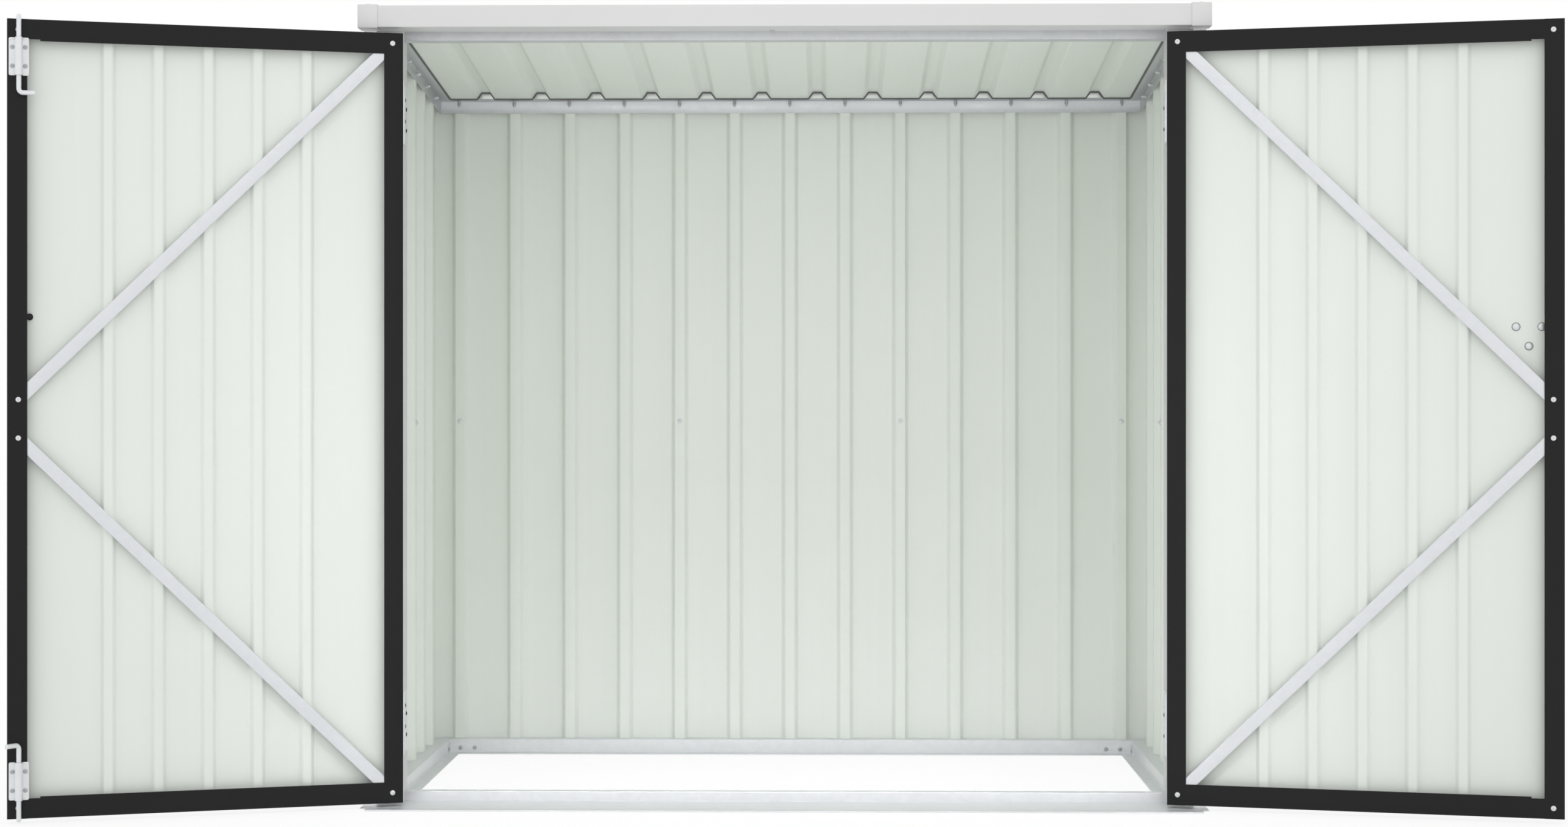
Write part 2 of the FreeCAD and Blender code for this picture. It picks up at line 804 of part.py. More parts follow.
# Front fascia: a folded strip whose lower lip reaches back to the header
fascia_front = front_web - size.fascia_reach
fascia_top = fascia_bottom + size.fascia_height
fascia_gauge = size.fascia_gauge
fascia_section = [
    (fascia_front, fascia_bottom),
    (lip_end, fascia_bottom),
    (lip_end, fascia_bottom + fascia_gauge),
    (fascia_front + fascia_gauge, fascia_bottom + fascia_gauge),
    (fascia_front + fascia_gauge, fascia_top - fascia_gauge),
    (fascia_front + size.fascia_top_return, fascia_top - fascia_gauge),
    (fascia_front + size.fascia_top_return, fascia_top),
    (fascia_front, fascia_top),
]
fascia = outline(fascia_section, 2 * trim_outer, at(-trim_outer, 0, 0, ALONG_X))
node("front_fascia", drilled(
    fascia, size.bolt_keeper_radius, 3 * fascia_gauge,
    [at(keeper_x, keeper_y, fascia_bottom - fascia_gauge)]))

# Side trims along the roof's edges, and the corner caps that close them at the front
trim_front = -1 * size.roof_front_reach + size.fascia_gauge
trim_length = roof_end - trim_front
for side, word in ((-1, "left"), (1, "right")):
    trim_inner = trim_outer - fascia_gauge
    section = [
        (trim_outer, -size.trim_drop),
        (trim_outer, size.trim_rise),
        (trim_outer - size.trim_top_return, size.trim_rise),
        (trim_outer - size.trim_top_return, size.trim_rise - fascia_gauge),
        (trim_inner, size.trim_rise - fascia_gauge),
        (trim_inner, -size.trim_drop + fascia_gauge),
        (trim_outer - size.trim_lip_width, -size.trim_drop + fascia_gauge),
        (trim_outer - size.trim_lip_width, -size.trim_drop),
    ]
    trim = outline(
        [(side * x, y) for x, y in section], trim_length,
        roof * at(0, roof_end, 0, TOWARD_FRONT))
    lip_room = box(
        (2 * trim_outer, lip_end - fascia_front, 2 * fascia_gauge),
        (-trim_outer, fascia_front, fascia_bottom - fascia_gauge))
    node(f"{word}_side_trim", cut(trim, lip_room))

    cap_start = trim_outer - size.cap_length + size.cap_wall
    wall = size.cap_wall
    low_x = cap_start if side > 0 else -1 * (trim_outer + wall)
    hollow_x = cap_start - wall if side > 0 else -1 * trim_outer
    cap_block = box(
        (size.cap_length, size.cap_length, size.fascia_height + 2 * wall),
        (low_x, fascia_front - wall, fascia_bottom - wall))
    cap_hollow = box(
        (size.cap_length, size.cap_length + wall, size.fascia_height),
        (hollow_x, fascia_front, fascia_bottom))
    cap = cut(cap_block, cap_hollow)
    cap_middle = side * (cap_start + size.cap_length / 2)
    cap_seat = at(cap_middle, fascia_front + size.fascia_top_return / 2, fascia_top + wall)
    node(f"{word}_corner_cap", drilled(
        cap, panel_hole, 3 * wall, [cap_seat * at(0, 0, -2 * wall)]))

panel_screw = screw(
    size.screw_head_radius, size.screw_head_height, size.screw_shank_radius,
    2 * size.sheet_gauge, size.panel_screw_point)
cap_screw = screw(
    size.screw_head_radius, size.screw_head_height, size.screw_shank_radius, size.cap_wall)
lap_seats = [
    at(side * (lap_side + size.sheet_gauge), side_lap_y, size.lap_screw_height,
       Rotation(Vector(0, 1, 0), 90 * side))
    for side in (-1, 1)
]
back_seats = [
    at(x, lap_crest + size.sheet_gauge, size.lap_screw_height, TOWARD_REAR) for x in back_lap_ribs
]
cap_seats = [
    at(side * (trim_outer + size.cap_wall - size.cap_length / 2),
       fascia_front + size.fascia_top_return / 2, fascia_top + size.cap_wall)
    for side in (-1, 1)
]
lap_screws = copies(panel_screw, lap_seats + back_seats)
cap_screws = copies(cap_screw, cap_seats)
doc.recompute()
panel_screw_group = make("Part::Compound")
panel_screw_group.Links = [lap_screws, cap_screws]
node("panel_screws", panel_screw_group)

# Hinges: fixed leaves with three knuckles on the jambs, moving leaves with two on the doors
hinge_heights = (door_top - size.hinge_inset, door_bottom + size.hinge_inset)
knuckle = size.hinge_length / 5
leaf_start = size.knuckle_radius + size.leaf_relief
pin_hole = size.pin_radius + size.pin_clearance


def knuckle_span(index):
    """Low end and length of one knuckle, measured from the hinge's lower end."""
    low = knuckle * index + size.knuckle_gap / 2
    return low, knuckle - size.knuckle_gap


def hinge_leaf(side, frame, near_x, reach, indexes, middle):
    """A leaf, its knuckles and the tabs that join them, bored for the pin."""
    base = middle - size.hinge_length / 2
    x = near_x if side > 0 else -1 * (near_x + size.leaf_gauge)
    pieces = [box(
        (size.leaf_gauge, reach - leaf_start, size.hinge_length), (x, leaf_start, base), frame)]
    for index in indexes:
        low, length = knuckle_span(index)
        pieces.append(cylinder(size.knuckle_radius, length, frame * at(0, 0, base + low)))
        pieces.append(box((size.leaf_gauge, leaf_start, length), (x, 0, base + low), frame))
    bore = cylinder(pin_hole, size.hinge_length, frame * at(0, 0, base))
    return cut(fuse(pieces), bore)


hinge_screw_places = []
leaf_reach = -1 * pin_y + jamb_front + size.leaf_seat_depth
leaf_screw = screw(
    size.leaf_screw_head_radius, size.leaf_screw_head_height,
    size.screw_shank_radius, size.leaf_gauge)
for side, word in ((-1, "left"), (1, "right")):
    pin_frame = at(side * pin_x, pin_y, 0)
    leaves = []
    pins = []
    for middle in hinge_heights:
        leaf = hinge_leaf(
            side, pin_frame, size.knuckle_radius - size.leaf_gauge, leaf_reach, (0, 2, 4), middle)
        seat_x = side * (half_opening - size.leaf_gauge)
        turn = Rotation(Vector(0, 1, 0), -90 * side)
        seats = []
        for index, rise in enumerate((
                size.leaf_screw_outer_height, size.leaf_screw_inner_height,
                -1 * size.leaf_screw_inner_height, -1 * size.leaf_screw_outer_height)):
            depth = size.leaf_screw_inset + size.leaf_screw_step_depth * (index % 2)
            seats.append(at(seat_x, jamb_front + depth, middle + rise, turn))
        hinge_screw_places = hinge_screw_places + seats
        sunk = [seat * at(0, 0, -2 * size.leaf_gauge) for seat in seats]
        leaves.append(drilled(
            leaf, size.screw_shank_radius + size.hole_clearance, 3 * size.leaf_gauge, sunk))
        base = middle - size.hinge_length / 2 + size.knuckle_gap / 2
        top = middle + size.hinge_length / 2 - size.knuckle_gap / 2
        head = size.knuckle_radius - size.knuckle_gap
        pins.append(fuse([
            cylinder(size.pin_radius, top - base, pin_frame * at(0, 0, base)),
            cylinder(head, size.pin_head, pin_frame * at(0, 0, top)),
            cylinder(head, size.pin_head, pin_frame * at(0, 0, base - size.pin_head)),
        ]))
    leaf_group = make("Part::Compound")
    leaf_group.Links = leaves
    node(f"{word}_jamb_leaves", leaf_group)
    pin_group = make("Part::Compound")
    pin_group.Links = pins
    node(f"{word}_hinge_pins", pin_group)
node("hinge_screws", copies(leaf_screw, hinge_screw_places))

# Doors, each built closed in its own frame and then turned to its open angle
edge = size.hinge_edge_gap
far_edge = edge + door_width
frame_gauge = size.frame_gauge
pan_outer = door_outer + frame_gauge
pan_inner = pan_outer + size.sheet_gauge
crest_inner = pan_inner + size.door_rib_depth
flange_back = door_inner - frame_gauge
brace_depth = flange_back - crest_inner
door_middle = door_bottom + size.door_height / 2
door_rib_pitch = (door_width - 2 * size.door_rib_margin) / 4
door_screw = screw(
    size.screw_head_radius, size.screw_head_height, size.screw_shank_radius, frame_gauge)
small_screw = screw(
    size.small_screw_head_radius, size.small_screw_head_height,
    size.small_screw_radius, size.bolt_plate_gauge)


def channel(low, high, open_to_high):
    """Section of a door stile or bar across the door: a channel open on one side."""
    if not open_to_high:
        low, high = high, low
    back = low + frame_gauge if open_to_high else low - frame_gauge
    return [
        (low, door_outer),
        (high, door_outer),
        (high, door_outer + frame_gauge),
        (back, door_outer + frame_gauge),
        (back, flange_back),
        (high, flange_back),
        (high, door_inner),
        (low, door_inner),
    ]


def brace(frame, side, start, end):
    """A shallow channel between two screws, its web against the door's flanges."""
    run = float(end[0] - start[0])
    rise = float(end[1] - start[1])
    length = Dim(math.hypot(run, rise), f"{math.hypot(run, rise):.9g}") + 2 * size.brace_end_length
    half = size.brace_width / 2
    section = [
        (-half, 0),
        (half, 0),
        (half, -brace_depth),
        (half - size.brace_gauge, -brace_depth),
        (half - size.brace_gauge, -size.brace_gauge),
        (-half + size.brace_gauge, -size.brace_gauge),
        (-half + size.brace_gauge, -brace_depth),
        (-half, -brace_depth),
    ]
    along = Vector(side * run, 0, rise).normalize()
    outward = Vector(0, 1, 0)
    across = outward.cross(along)
    turn = Rotation(across, outward, along, "ZYX")
    place = at(side * start[0], flange_back, start[1], turn) * at(0, 0, -size.brace_end_length)
    return outline(section, length, frame * place)


for side, word, angle in (
        (-1, "left", size.left_open_angle), (1, "right", size.right_open_angle)):
    # A door's local x is mirrored on the right side: "out" counts from the hinge inward
    out = -side
    turn = Rotation(Vector(0, 0, 1), float(angle) * side)
    frame = Placement(Vector(float(side * pin_x), float(pin_y), 0), turn)

    def mirrored(points):
        return [(out * x, y) for x, y in points]

    hinge_stile = outline(
        mirrored(channel(edge, edge + size.stile_width, True)), size.door_height,
        frame * at(0, 0, door_bottom))
    free_stile = outline(
        mirrored(channel(far_edge - size.stile_width, far_edge, False)), size.door_height,
        frame * at(0, 0, door_bottom))
    bar_start = edge + size.stile_width
    bar_length = door_width - 2 * size.stile_width
    bar_x = bar_start if out > 0 else -1 * (bar_start + bar_length)
    for low, high, open_up, bar_word in (
            (door_bottom, door_bottom + size.bar_height, True, "bottom"),
            (door_top - size.bar_height, door_top, False, "top")):
        section = [(y, z) for z, y in channel(low, high, open_up)]
        bar = outline(section, bar_length, frame * at(bar_x, 0, 0, ALONG_X))
        # The inner flange is cut back a little beside the free stile
        relief_end = far_edge - size.stile_width
        relief_x = relief_end - size.relief_length if out > 0 else -1 * relief_end
        relief_z = high - size.relief_depth if open_up else low
        relief = box(
            (size.relief_length, frame_gauge, size.relief_depth),
            (relief_x, flange_back, relief_z), frame)
        node(f"{word}_{bar_word}_bar", cut(bar, relief))

    stile_line = [
        (edge + size.screw_inset, door_top - size.screw_inset),
        (edge + size.screw_inset, door_bottom + size.screw_inset),
    ]
    free_line = [
        (far_edge - size.screw_inset, door_top - size.screw_inset),
        (far_edge - size.screw_inset, door_middle + size.brace_spread_height / 2),
        (far_edge - size.screw_inset, door_middle - size.brace_spread_height / 2),
        (far_edge - size.screw_inset, door_bottom + size.screw_inset),
    ]
    seats = {}
    for stile, line in (("hinge", stile_line), ("free", free_line)):
        seats[stile] = [frame * at(out * x, door_inner, z, TOWARD_REAR) for x, z in line]
    hole = size.screw_shank_radius + size.hole_clearance
    sunk = {
        stile: [seat * at(0, 0, -2 * frame_gauge) for seat in places]
        for stile, places in seats.items()
    }
    node(f"{word}_hinge_stile", drilled(hinge_stile, hole, 3 * frame_gauge, sunk["hinge"]))
    node(f"{word}_free_stile", drilled(free_stile, hole, 3 * frame_gauge, sunk["free"]))
    door_screws = copies(door_screw, seats["hinge"] + seats["free"])

    for (start, end, brace_word) in (
            (stile_line[0], free_line[1], "upper"), (stile_line[1], free_line[2], "lower")):
        node(f"{word}_{brace_word}_brace", brace(frame, out, start, end))

    sheet_line = [(edge + frame_gauge, pan_inner, 0, -1)]
    rib_half = size.door_rib_crest / 2
    door_rib_foot = rib_half + size.door_rib_flank
    for step in (-2, -1, 0, 1, 2):
        x = edge + door_width / 2 + door_rib_pitch * step
        sheet_line = sheet_line + [
            (x - door_rib_foot, pan_inner, 0, -1),
            (x - rib_half, crest_inner, 0, -1),
            (x + rib_half, crest_inner, 0, -1),
            (x + door_rib_foot, pan_inner, 0, -1),
        ]
    sheet_line = sheet_line + [(far_edge - frame_gauge, pan_inner, 0, -1)]
    door_sheet = outline(
        mirrored(folded(sheet_line, size.sheet_gauge)), size.door_height - 2 * frame_gauge,
        frame * at(0, 0, door_bottom + frame_gauge))

    leaves = [
        hinge_leaf(out, frame, edge - size.leaf_gauge, door_inner, (1, 3), middle)
        for middle in hinge_heights
    ]
    leaf_group = make("Part::Compound")
    leaf_group.Links = leaves
    node(f"{word}_door_leaves", leaf_group)

    # The outside latch: a bar that slides on the right door into a loop on the left one
    latch_face = door_outer - size.latch_plate_gauge
    bar_back = latch_face - size.latch_bar_clearance
    bar_front = bar_back - size.latch_bar_gauge
    slot_front = bar_front - size.latch_bar_clearance
    strap_front = slot_front - size.latch_strap_wall
    slot_height = size.latch_bar_height + 2 * size.latch_bar_clearance
    strap_height = slot_height + 2 * size.latch_strap_wall
    bolt_hole = size.latch_bolt_radius + size.hole_clearance

    def strap(start, width):
        """A loop that stands off the door's face and holds the latch bar."""
        x = start if out > 0 else -1 * (start + width)
        block = box(
            (width, latch_face - strap_front, strap_height),
            (x, strap_front, size.latch_height - strap_height / 2), frame)
        slot = box(
            (width, latch_face - slot_front, slot_height),
            (x, slot_front, size.latch_height - slot_height / 2), frame)
        return cut(block, slot)

    def face_plate(inset, width, height, low):
        start = far_edge - inset - width
        x = start if out > 0 else -1 * (start + width)
        return box((width, size.latch_plate_gauge, height), (x, latch_face, low), frame)

    if side > 0:
        strap_near = far_edge - size.latch_strap_inset - size.latch_strap_width
        plate_low = size.latch_height + size.latch_bolt_rise - size.latch_bolt_drop \
            - size.latch_head_radius - size.latch_head_height
        plate = fuse([
            face_plate(
                size.latch_plate_inset, size.latch_plate_width, size.latch_plate_height, plate_low),
            strap(strap_near, size.latch_strap_width),
            strap(strap_near - size.latch_strap_pitch, size.latch_strap_width),
        ])
        near = far_edge - size.latch_bolt_inset
        upper = size.latch_height + size.latch_bolt_rise
        bolt_line = [
            (near, upper),
            (near - size.latch_bolt_pitch, upper),
            (near - size.latch_bolt_pitch / 2, upper - size.latch_bolt_drop),
        ]
        bolt_seats = [
            frame * at(out * x, latch_face, z, TOWARD_FRONT) for x, z in bolt_line
        ]
        bolt_length = pan_inner - latch_face
        latch_bolt = turned([
            (0, size.latch_head_height),
            (size.latch_head_radius * 0.6, size.latch_head_height),
            (size.latch_head_radius, size.latch_head_height * 0.4),
            (size.latch_head_radius, 0),
            (size.latch_bolt_radius, 0),
            (size.latch_bolt_radius, -bolt_length),
            (size.latch_nut_radius, -bolt_length),
            (size.latch_nut_radius, -bolt_length - size.latch_nut_height * 0.5),
            (size.latch_nut_radius * 0.6, -bolt_length - size.latch_nut_height),
            (0, -bolt_length - size.latch_nut_height),
        ], GROUND)
        holes = [seat * at(0, 0, -2 * bolt_length) for seat in bolt_seats]
        node("latch_plate", drilled(plate, bolt_hole, 3 * bolt_length, holes))
        node("latch_bolts", copies(latch_bolt, bolt_seats))
        node("right_door_sheet", drilled(door_sheet, bolt_hole, 3 * bolt_length, holes))
        bar_end = far_edge - size.latch_bar_inset
        bar = box(
            (size.latch_bar_length, size.latch_bar_gauge, size.latch_bar_height),
            (-1 * bar_end, bar_front, size.latch_height - size.latch_bar_height / 2), frame)
        knob_x = bar_end - size.latch_bar_length + size.latch_knob_inset
        knob = cylinder(
            size.latch_knob_radius, size.latch_knob_length,
            frame * at(-1 * knob_x, bar_front, size.latch_height, TOWARD_FRONT))
        node("latch_bar", fuse([bar, knob]))
        node("right_door_screws", door_screws)
    else:
        stud_z = size.latch_height + size.keeper_stud_rise
        keeper_low = size.latch_height - strap_height
        loop_start = far_edge - size.keeper_loop_inset - size.keeper_loop_width
        stud_x = far_edge - size.latch_bolt_inset
        stud_seat = frame * at(out * stud_x, latch_face, stud_z, TOWARD_REAR)
        stud_length = pan_inner - latch_face
        node("latch_keeper", fuse([
            face_plate(size.keeper_inset, size.keeper_width, size.keeper_height, keeper_low),
            strap(loop_start, size.keeper_loop_width),
            cylinder(size.latch_bolt_radius, stud_length + size.latch_nut_height, stud_seat),
            cylinder(size.latch_nut_radius, size.latch_nut_height,
                     stud_seat * at(0, 0, stud_length)),
        ]))
        node("left_door_sheet", drilled(
            door_sheet, bolt_hole, 2 * stud_length, [stud_seat * at(0, 0, -stud_length / 2)]))

        # Tower bolts: housing, rod with its bent handle, and the ring that stops the rod
        plate_screws = []
        axis = frame * at(out * bolt_axis_x, bolt_axis_y, 0)
        chamber = size.bolt_travel_length + size.bolt_ring_width + 2 * size.bolt_chamber_gap
        rod_hole = size.bolt_rod_radius + size.bolt_rod_clearance
        saddle = size.bolt_barrel_radius * 1.4
        for bolt_word, up in (("top", 1), ("bottom", -1)):
            flip = Rotation() if up > 0 else UPSIDE_DOWN
            door_end = door_top if up > 0 else door_bottom
            reach = size.bolt_tip_out_length if up > 0 else size.bolt_foot_out_length
            housing_middle = door_end - up * (
                size.bolt_plate_inset + size.bolt_plate_height / 2)
            low = housing_middle - size.bolt_plate_height / 2
            housing = fuse([
                box((size.bolt_plate_width, size.bolt_plate_gauge, size.bolt_plate_height),
                    (bolt_axis_x - size.bolt_plate_width / 2, door_inner, low), frame),
                box((saddle, bolt_axis_y - door_inner, size.bolt_plate_height),
                    (bolt_axis_x - saddle / 2, door_inner, low), frame),
                cylinder(size.bolt_barrel_radius, size.bolt_plate_height, axis * at(0, 0, low)),
            ])
            bore = cylinder(rod_hole, 2 * size.bolt_plate_height,
                            axis * at(0, 0, low - size.bolt_plate_height / 2))
            room = cylinder(size.bolt_ring_radius + size.bolt_rod_clearance, chamber,
                            axis * at(0, 0, housing_middle - chamber / 2))
            housing = cut(cut(housing, bore), room)
            seats = [
                frame * at(bolt_axis_x + x * size.bolt_screw_offset,
                           door_inner + size.bolt_plate_gauge,
                           housing_middle + z * size.bolt_screw_height, TOWARD_REAR)
                for x in (-1, 1) for z in (-1, 1)
            ]
            plate_screws = plate_screws + seats
            sunk_seats = [seat * at(0, 0, -2 * size.bolt_plate_gauge) for seat in seats]
            node(f"{bolt_word}_bolt_housing", drilled(
                housing, size.small_screw_radius + size.hole_clearance,
                3 * size.bolt_plate_gauge, sunk_seats))

            tip = door_end + up * reach
            tail = housing_middle - up * (size.bolt_plate_height / 2 + size.bolt_tail_length)
            ring_z = housing_middle - up * (
                size.bolt_travel_length / 2) - size.bolt_ring_width / 2
            stem_low = tail if up > 0 else tip
            stem = cylinder(
                size.bolt_rod_radius, (tip - tail) * up, axis * at(0, 0, stem_low))
            handle_turn = Rotation(Vector(0, 1, 0), -90)
            if up < 0:
                handle_turn = Rotation(
                    Vector(0, 0, 1), float(size.bottom_handle_angle)) * Rotation(
                    Vector(0, 1, 0), 90)
            handle = cylinder(
                size.bolt_rod_radius, size.bolt_handle_length, axis * at(0, 0, tail, handle_turn))
            elbow = make("Part::Sphere")
            elbow.setExpression("Radius", size.bolt_rod_radius.text)
            elbow.Placement = axis * at(0, 0, tail)
            groove_width = size.bolt_ring_width + 2 * size.pin_clearance
            groove = cut(
                cylinder(2 * size.bolt_rod_radius, groove_width,
                         axis * at(0, 0, ring_z - size.pin_clearance)),
                cylinder(size.bolt_groove_radius, groove_width,
                         axis * at(0, 0, ring_z - size.pin_clearance)))
            node(f"{bolt_word}_bolt_rod", cut(fuse([stem, handle, elbow]), groove))
            ring = cut(
                cylinder(size.bolt_ring_radius, size.bolt_ring_width, axis * at(0, 0, ring_z)),
                cylinder(size.bolt_groove_radius + size.pin_clearance, size.bolt_ring_width,
                         axis * at(0, 0, ring_z)))
            node(f"{bolt_word}_bolt_ring", ring)
        small_screws = copies(small_screw, plate_screws)
        doc.recompute()
        screw_group = make("Part::Compound")
        screw_group.Links = [door_screws, small_screws]
        node("left_door_screws", screw_group)

doc.recompute()
faults = [item.Label for item in doc.Objects if "Invalid" in item.State or "Error" in item.State]
for name, thing in nodes.items():
    shape = thing.Shape
    if shape.isNull() or not shape.isValid() or not shape.Solids:
        faults.append(name)
if faults:
    raise RuntimeError("pieces that failed: " + ", ".join(faults))

os.makedirs("parts", exist_ok=True)
for name, thing in nodes.items():
    thing.Shape.exportStep(f"parts/{name}.step")
    solids = len(thing.Shape.Solids)
    print(f"{name}: {solids} solid(s), {thing.Shape.Volume / 1000:.2f} cm3")
print(len(nodes), "nodes")
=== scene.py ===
# %% [markdown]
# # A metal garden tool cabinet
# The cabinet is a lean-to box of ribbed, coated sheet on folded rails, with two braced doors.
# Its shapes come from the CAD frame, which is loaded first and is never moved. This lesson gives
# each piece its finish, rounds the folds that a press would leave, and models the small hardware.

# %% Load the frame
import json
import math

import bmesh
import bpy
from mathutils import Matrix, Vector


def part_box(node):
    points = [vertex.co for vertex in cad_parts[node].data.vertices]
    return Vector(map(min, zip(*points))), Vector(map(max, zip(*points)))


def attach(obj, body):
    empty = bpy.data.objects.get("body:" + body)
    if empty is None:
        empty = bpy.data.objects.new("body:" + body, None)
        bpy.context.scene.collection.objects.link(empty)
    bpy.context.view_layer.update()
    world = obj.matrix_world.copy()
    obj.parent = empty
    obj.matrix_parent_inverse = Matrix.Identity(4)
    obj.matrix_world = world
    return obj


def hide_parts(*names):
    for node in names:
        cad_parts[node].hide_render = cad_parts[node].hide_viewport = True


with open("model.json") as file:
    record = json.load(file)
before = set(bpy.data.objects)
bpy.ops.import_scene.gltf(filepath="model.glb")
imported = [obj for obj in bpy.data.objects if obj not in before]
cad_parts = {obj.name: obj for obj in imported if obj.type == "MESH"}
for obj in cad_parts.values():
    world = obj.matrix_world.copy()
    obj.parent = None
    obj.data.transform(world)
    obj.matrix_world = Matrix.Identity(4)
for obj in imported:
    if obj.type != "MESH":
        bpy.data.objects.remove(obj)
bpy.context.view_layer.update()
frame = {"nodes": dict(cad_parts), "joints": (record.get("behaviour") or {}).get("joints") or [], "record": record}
nodes = frame["nodes"]
body_of_node = {name: body for body, names in frame["record"]["behaviour"]["bodies"].items()
                for name in names}
slot_of_node = {row["node"]: row["material_slot"] for row in frame["record"]["subparts"]}

# %% [markdown]
# ## A short way to write materials
# A finish is a node tree, and most of it is arithmetic on numbers that vary over the surface.
# Wiring Math nodes by hand is slow to read, so a small class wraps a socket and lets plain
# Python signs add the Math nodes. Every other node goes through one method.


# %% A socket that does sums
class Wire:
    """One output socket; + - * and > on it add Math nodes."""

    def __init__(self, finish, socket):
        self.finish = finish
        self.socket = socket

    def math(self, operation, first, second):
        return self.finish.add("ShaderNodeMath", {"operation": operation}, {0: first, 1: second})

    def __add__(self, other):
        return self.math("ADD", self, other)

    def __radd__(self, other):
        return self.math("ADD", other, self)

    def __sub__(self, other):
        return self.math("SUBTRACT", self, other)

    def __rsub__(self, other):
        return self.math("SUBTRACT", other, self)

    def __mul__(self, other):
        return self.math("MULTIPLY", self, other)

    def __rmul__(self, other):
        return self.math("MULTIPLY", other, self)

    def __gt__(self, other):
        return self.math("GREATER_THAN", self, other)

    def __abs__(self):
        return self.math("ABSOLUTE", self, 0)


print("sockets can be added, subtracted, multiplied and compared")


# %% A finish
class Finish:
    """A material whose constant values sit on the shader and whose patterns are wired in."""

    def __init__(self, name, **constants):
        self.material = bpy.data.materials.new(name)
        self.material.use_nodes = True
        self.tree = self.material.node_tree
        self.shader = self.tree.nodes["Principled BSDF"]
        for socket, value in constants.items():
            self.shader.inputs[socket.replace("_", " ")].default_value = value

    def put(self, socket, value):
        if isinstance(value, Wire):
            self.tree.links.new(value.socket, socket)
        else:
            socket.default_value = value

    def add(self, kind, settings, sockets, out=0):
        node = self.tree.nodes.new(kind)
        for name, value in settings.items():
            setattr(node, name, value)
        for key, value in sockets.items():
            self.put(node.inputs[key], value)
        return Wire(self, node.outputs[out])

    def give(self, **sockets):
        for name, value in sockets.items():
            self.put(self.shader.inputs[name.replace("_", " ")], value)

    def point(self, out="Object"):
        return self.add("ShaderNodeTexCoord", {}, {}, out)

    def parts(self, vector):
        return [self.add("ShaderNodeSeparateXYZ", {}, {0: vector}, axis) for axis in range(3)]

    def stretched(self, scale):
        return self.add("ShaderNodeMapping", {}, {"Vector": self.point(), "Scale": scale})

    def noise(self, scale, detail=2.0, place=None):
        place = place or self.point()
        return self.add("ShaderNodeTexNoise", {}, {"Vector": place, "Scale": scale, "Detail": detail})

    def mix(self, factor, first, second):
        colours = {0: factor, 6: first, 7: second}
        return self.add("ShaderNodeMix", {"data_type": "RGBA"}, colours, 2)

    def bump(self, height, strength, distance):
        heights = {"Height": height, "Strength": strength, "Distance": distance}
        self.give(Normal=self.add("ShaderNodeBump", {}, heights))


def shade(grey, blue=1.0):
    return (grey, grey, grey * blue, 1.0)


print("finishes can be mixed, stretched and bumped")

# %% [markdown]
# ## The coated sheet
# Walls, roof and doors are roll-formed from coil-coated steel: a pale grey top coat outside and a
# thin pale green backing coat inside. The walls and roof take a lighter copy of that backing than
# the doors, which is painted light for the dim inside of the cabinet. Two materials could be picked face by face,
# but the rounded folds would then need sorting too, so one finish finds out which side it is on. Roll forming
# leaves long faint streaks along the ribs, and the coat has a fine orange-peel grain.

# %% Coil-coated sheet
OUTER_COAT = (0.640, 0.646, 0.648, 1.0)
DOOR_BACKING = (0.785, 0.826, 0.778, 1.0)
# painted light: the same backing coat as on the doors, made lighter for the walls and roof inside the cabinet
WALL_BACKING_WITH_PAINTED_LIGHT = (0.860, 0.902, 0.852, 1.0)
COAT_CLOUDS = 3.5
PEEL = 900.0
STREAK_TONE = 0.16
CLOUD_TONE = 0.18
PEEL_TONE = 0.03
COAT_ROUGHNESS = 0.42


def coated_sheet(name, faces_inside, streak_scale, backing=WALL_BACKING_WITH_PAINTED_LIGHT):
    """faces_inside(normal parts, place parts) is above 0 on the sheet's inner side."""
    finish = Finish(name, Specular_IOR_Level=0.35)
    facing = faces_inside(finish.parts(finish.point("Normal")), finish.parts(finish.point()))
    coat = finish.mix(facing > 0, OUTER_COAT, backing)
    streaks = finish.noise(1.0, detail=3.0, place=finish.stretched(streak_scale))
    clouds = finish.noise(COAT_CLOUDS, detail=4.0)
    peel = finish.noise(PEEL)
    wear = (streaks - 0.5) * STREAK_TONE + (clouds - 0.5) * CLOUD_TONE + (peel - 0.5) * PEEL_TONE
    tone = finish.mix(0.5 + wear, shade(0.90, blue=0.99), shade(1.06))
    toned = finish.add("ShaderNodeMix", {"data_type": "RGBA", "blend_type": "MULTIPLY"},
                       {0: 1.0, 6: coat, 7: tone}, 2)
    finish.give(Base_Color=toned,
                Roughness=COAT_ROUGHNESS + (clouds - 0.5) * 0.12 + (streaks - 0.5) * 0.06)
    finish.bump(peel * 0.4 + streaks, strength=0.10, distance=0.0004)
    return finish.material


print("coats", OUTER_COAT[:3], DOOR_BACKING[:3], WALL_BACKING_WITH_PAINTED_LIGHT[:3])

# %% [markdown]
# ## The inner side of a sheet
# A face's own normal, read in object space, tells the side and turns with a door. A flat wall needs
# one direction to its inside. The sheets at the front and rear corners turn from one wall to the
# next, so for them the place across the cabinet chooses between two directions.

# %% Tell the inner side
JAMB_CORNER = 0.75
SIDE_WALL = 0.774
FLANK_LEAN = 0.3


def toward(direction):
    """The inside lies one way for the whole sheet."""
    x, y, z = direction

    def faces_inside(normal, place):
        return normal[0] * x + normal[1] * y + normal[2] * z
    return faces_inside


def jamb_panel(side):
    """The sheet wraps round the jamb, so its outer coat also covers the reveal."""
    def faces_inside(normal, place):
        on_wall = (abs(place[0]) > JAMB_CORNER) * 2 - 1
        return normal[0] * -side * on_wall + normal[1] * FLANK_LEAN
    return faces_inside


def corner_panel(side):
    """The sheet turns the rear corner, from the side wall to the rear wall."""
    def faces_inside(normal, place):
        on_side = abs(place[0]) > SIDE_WALL
        side_part = normal[0] * -side - normal[1] * FLANK_LEAN
        rear_part = normal[0] * (-FLANK_LEAN * side) - normal[1]
        return on_side * side_part + (1 - on_side) * rear_part
    return faces_inside


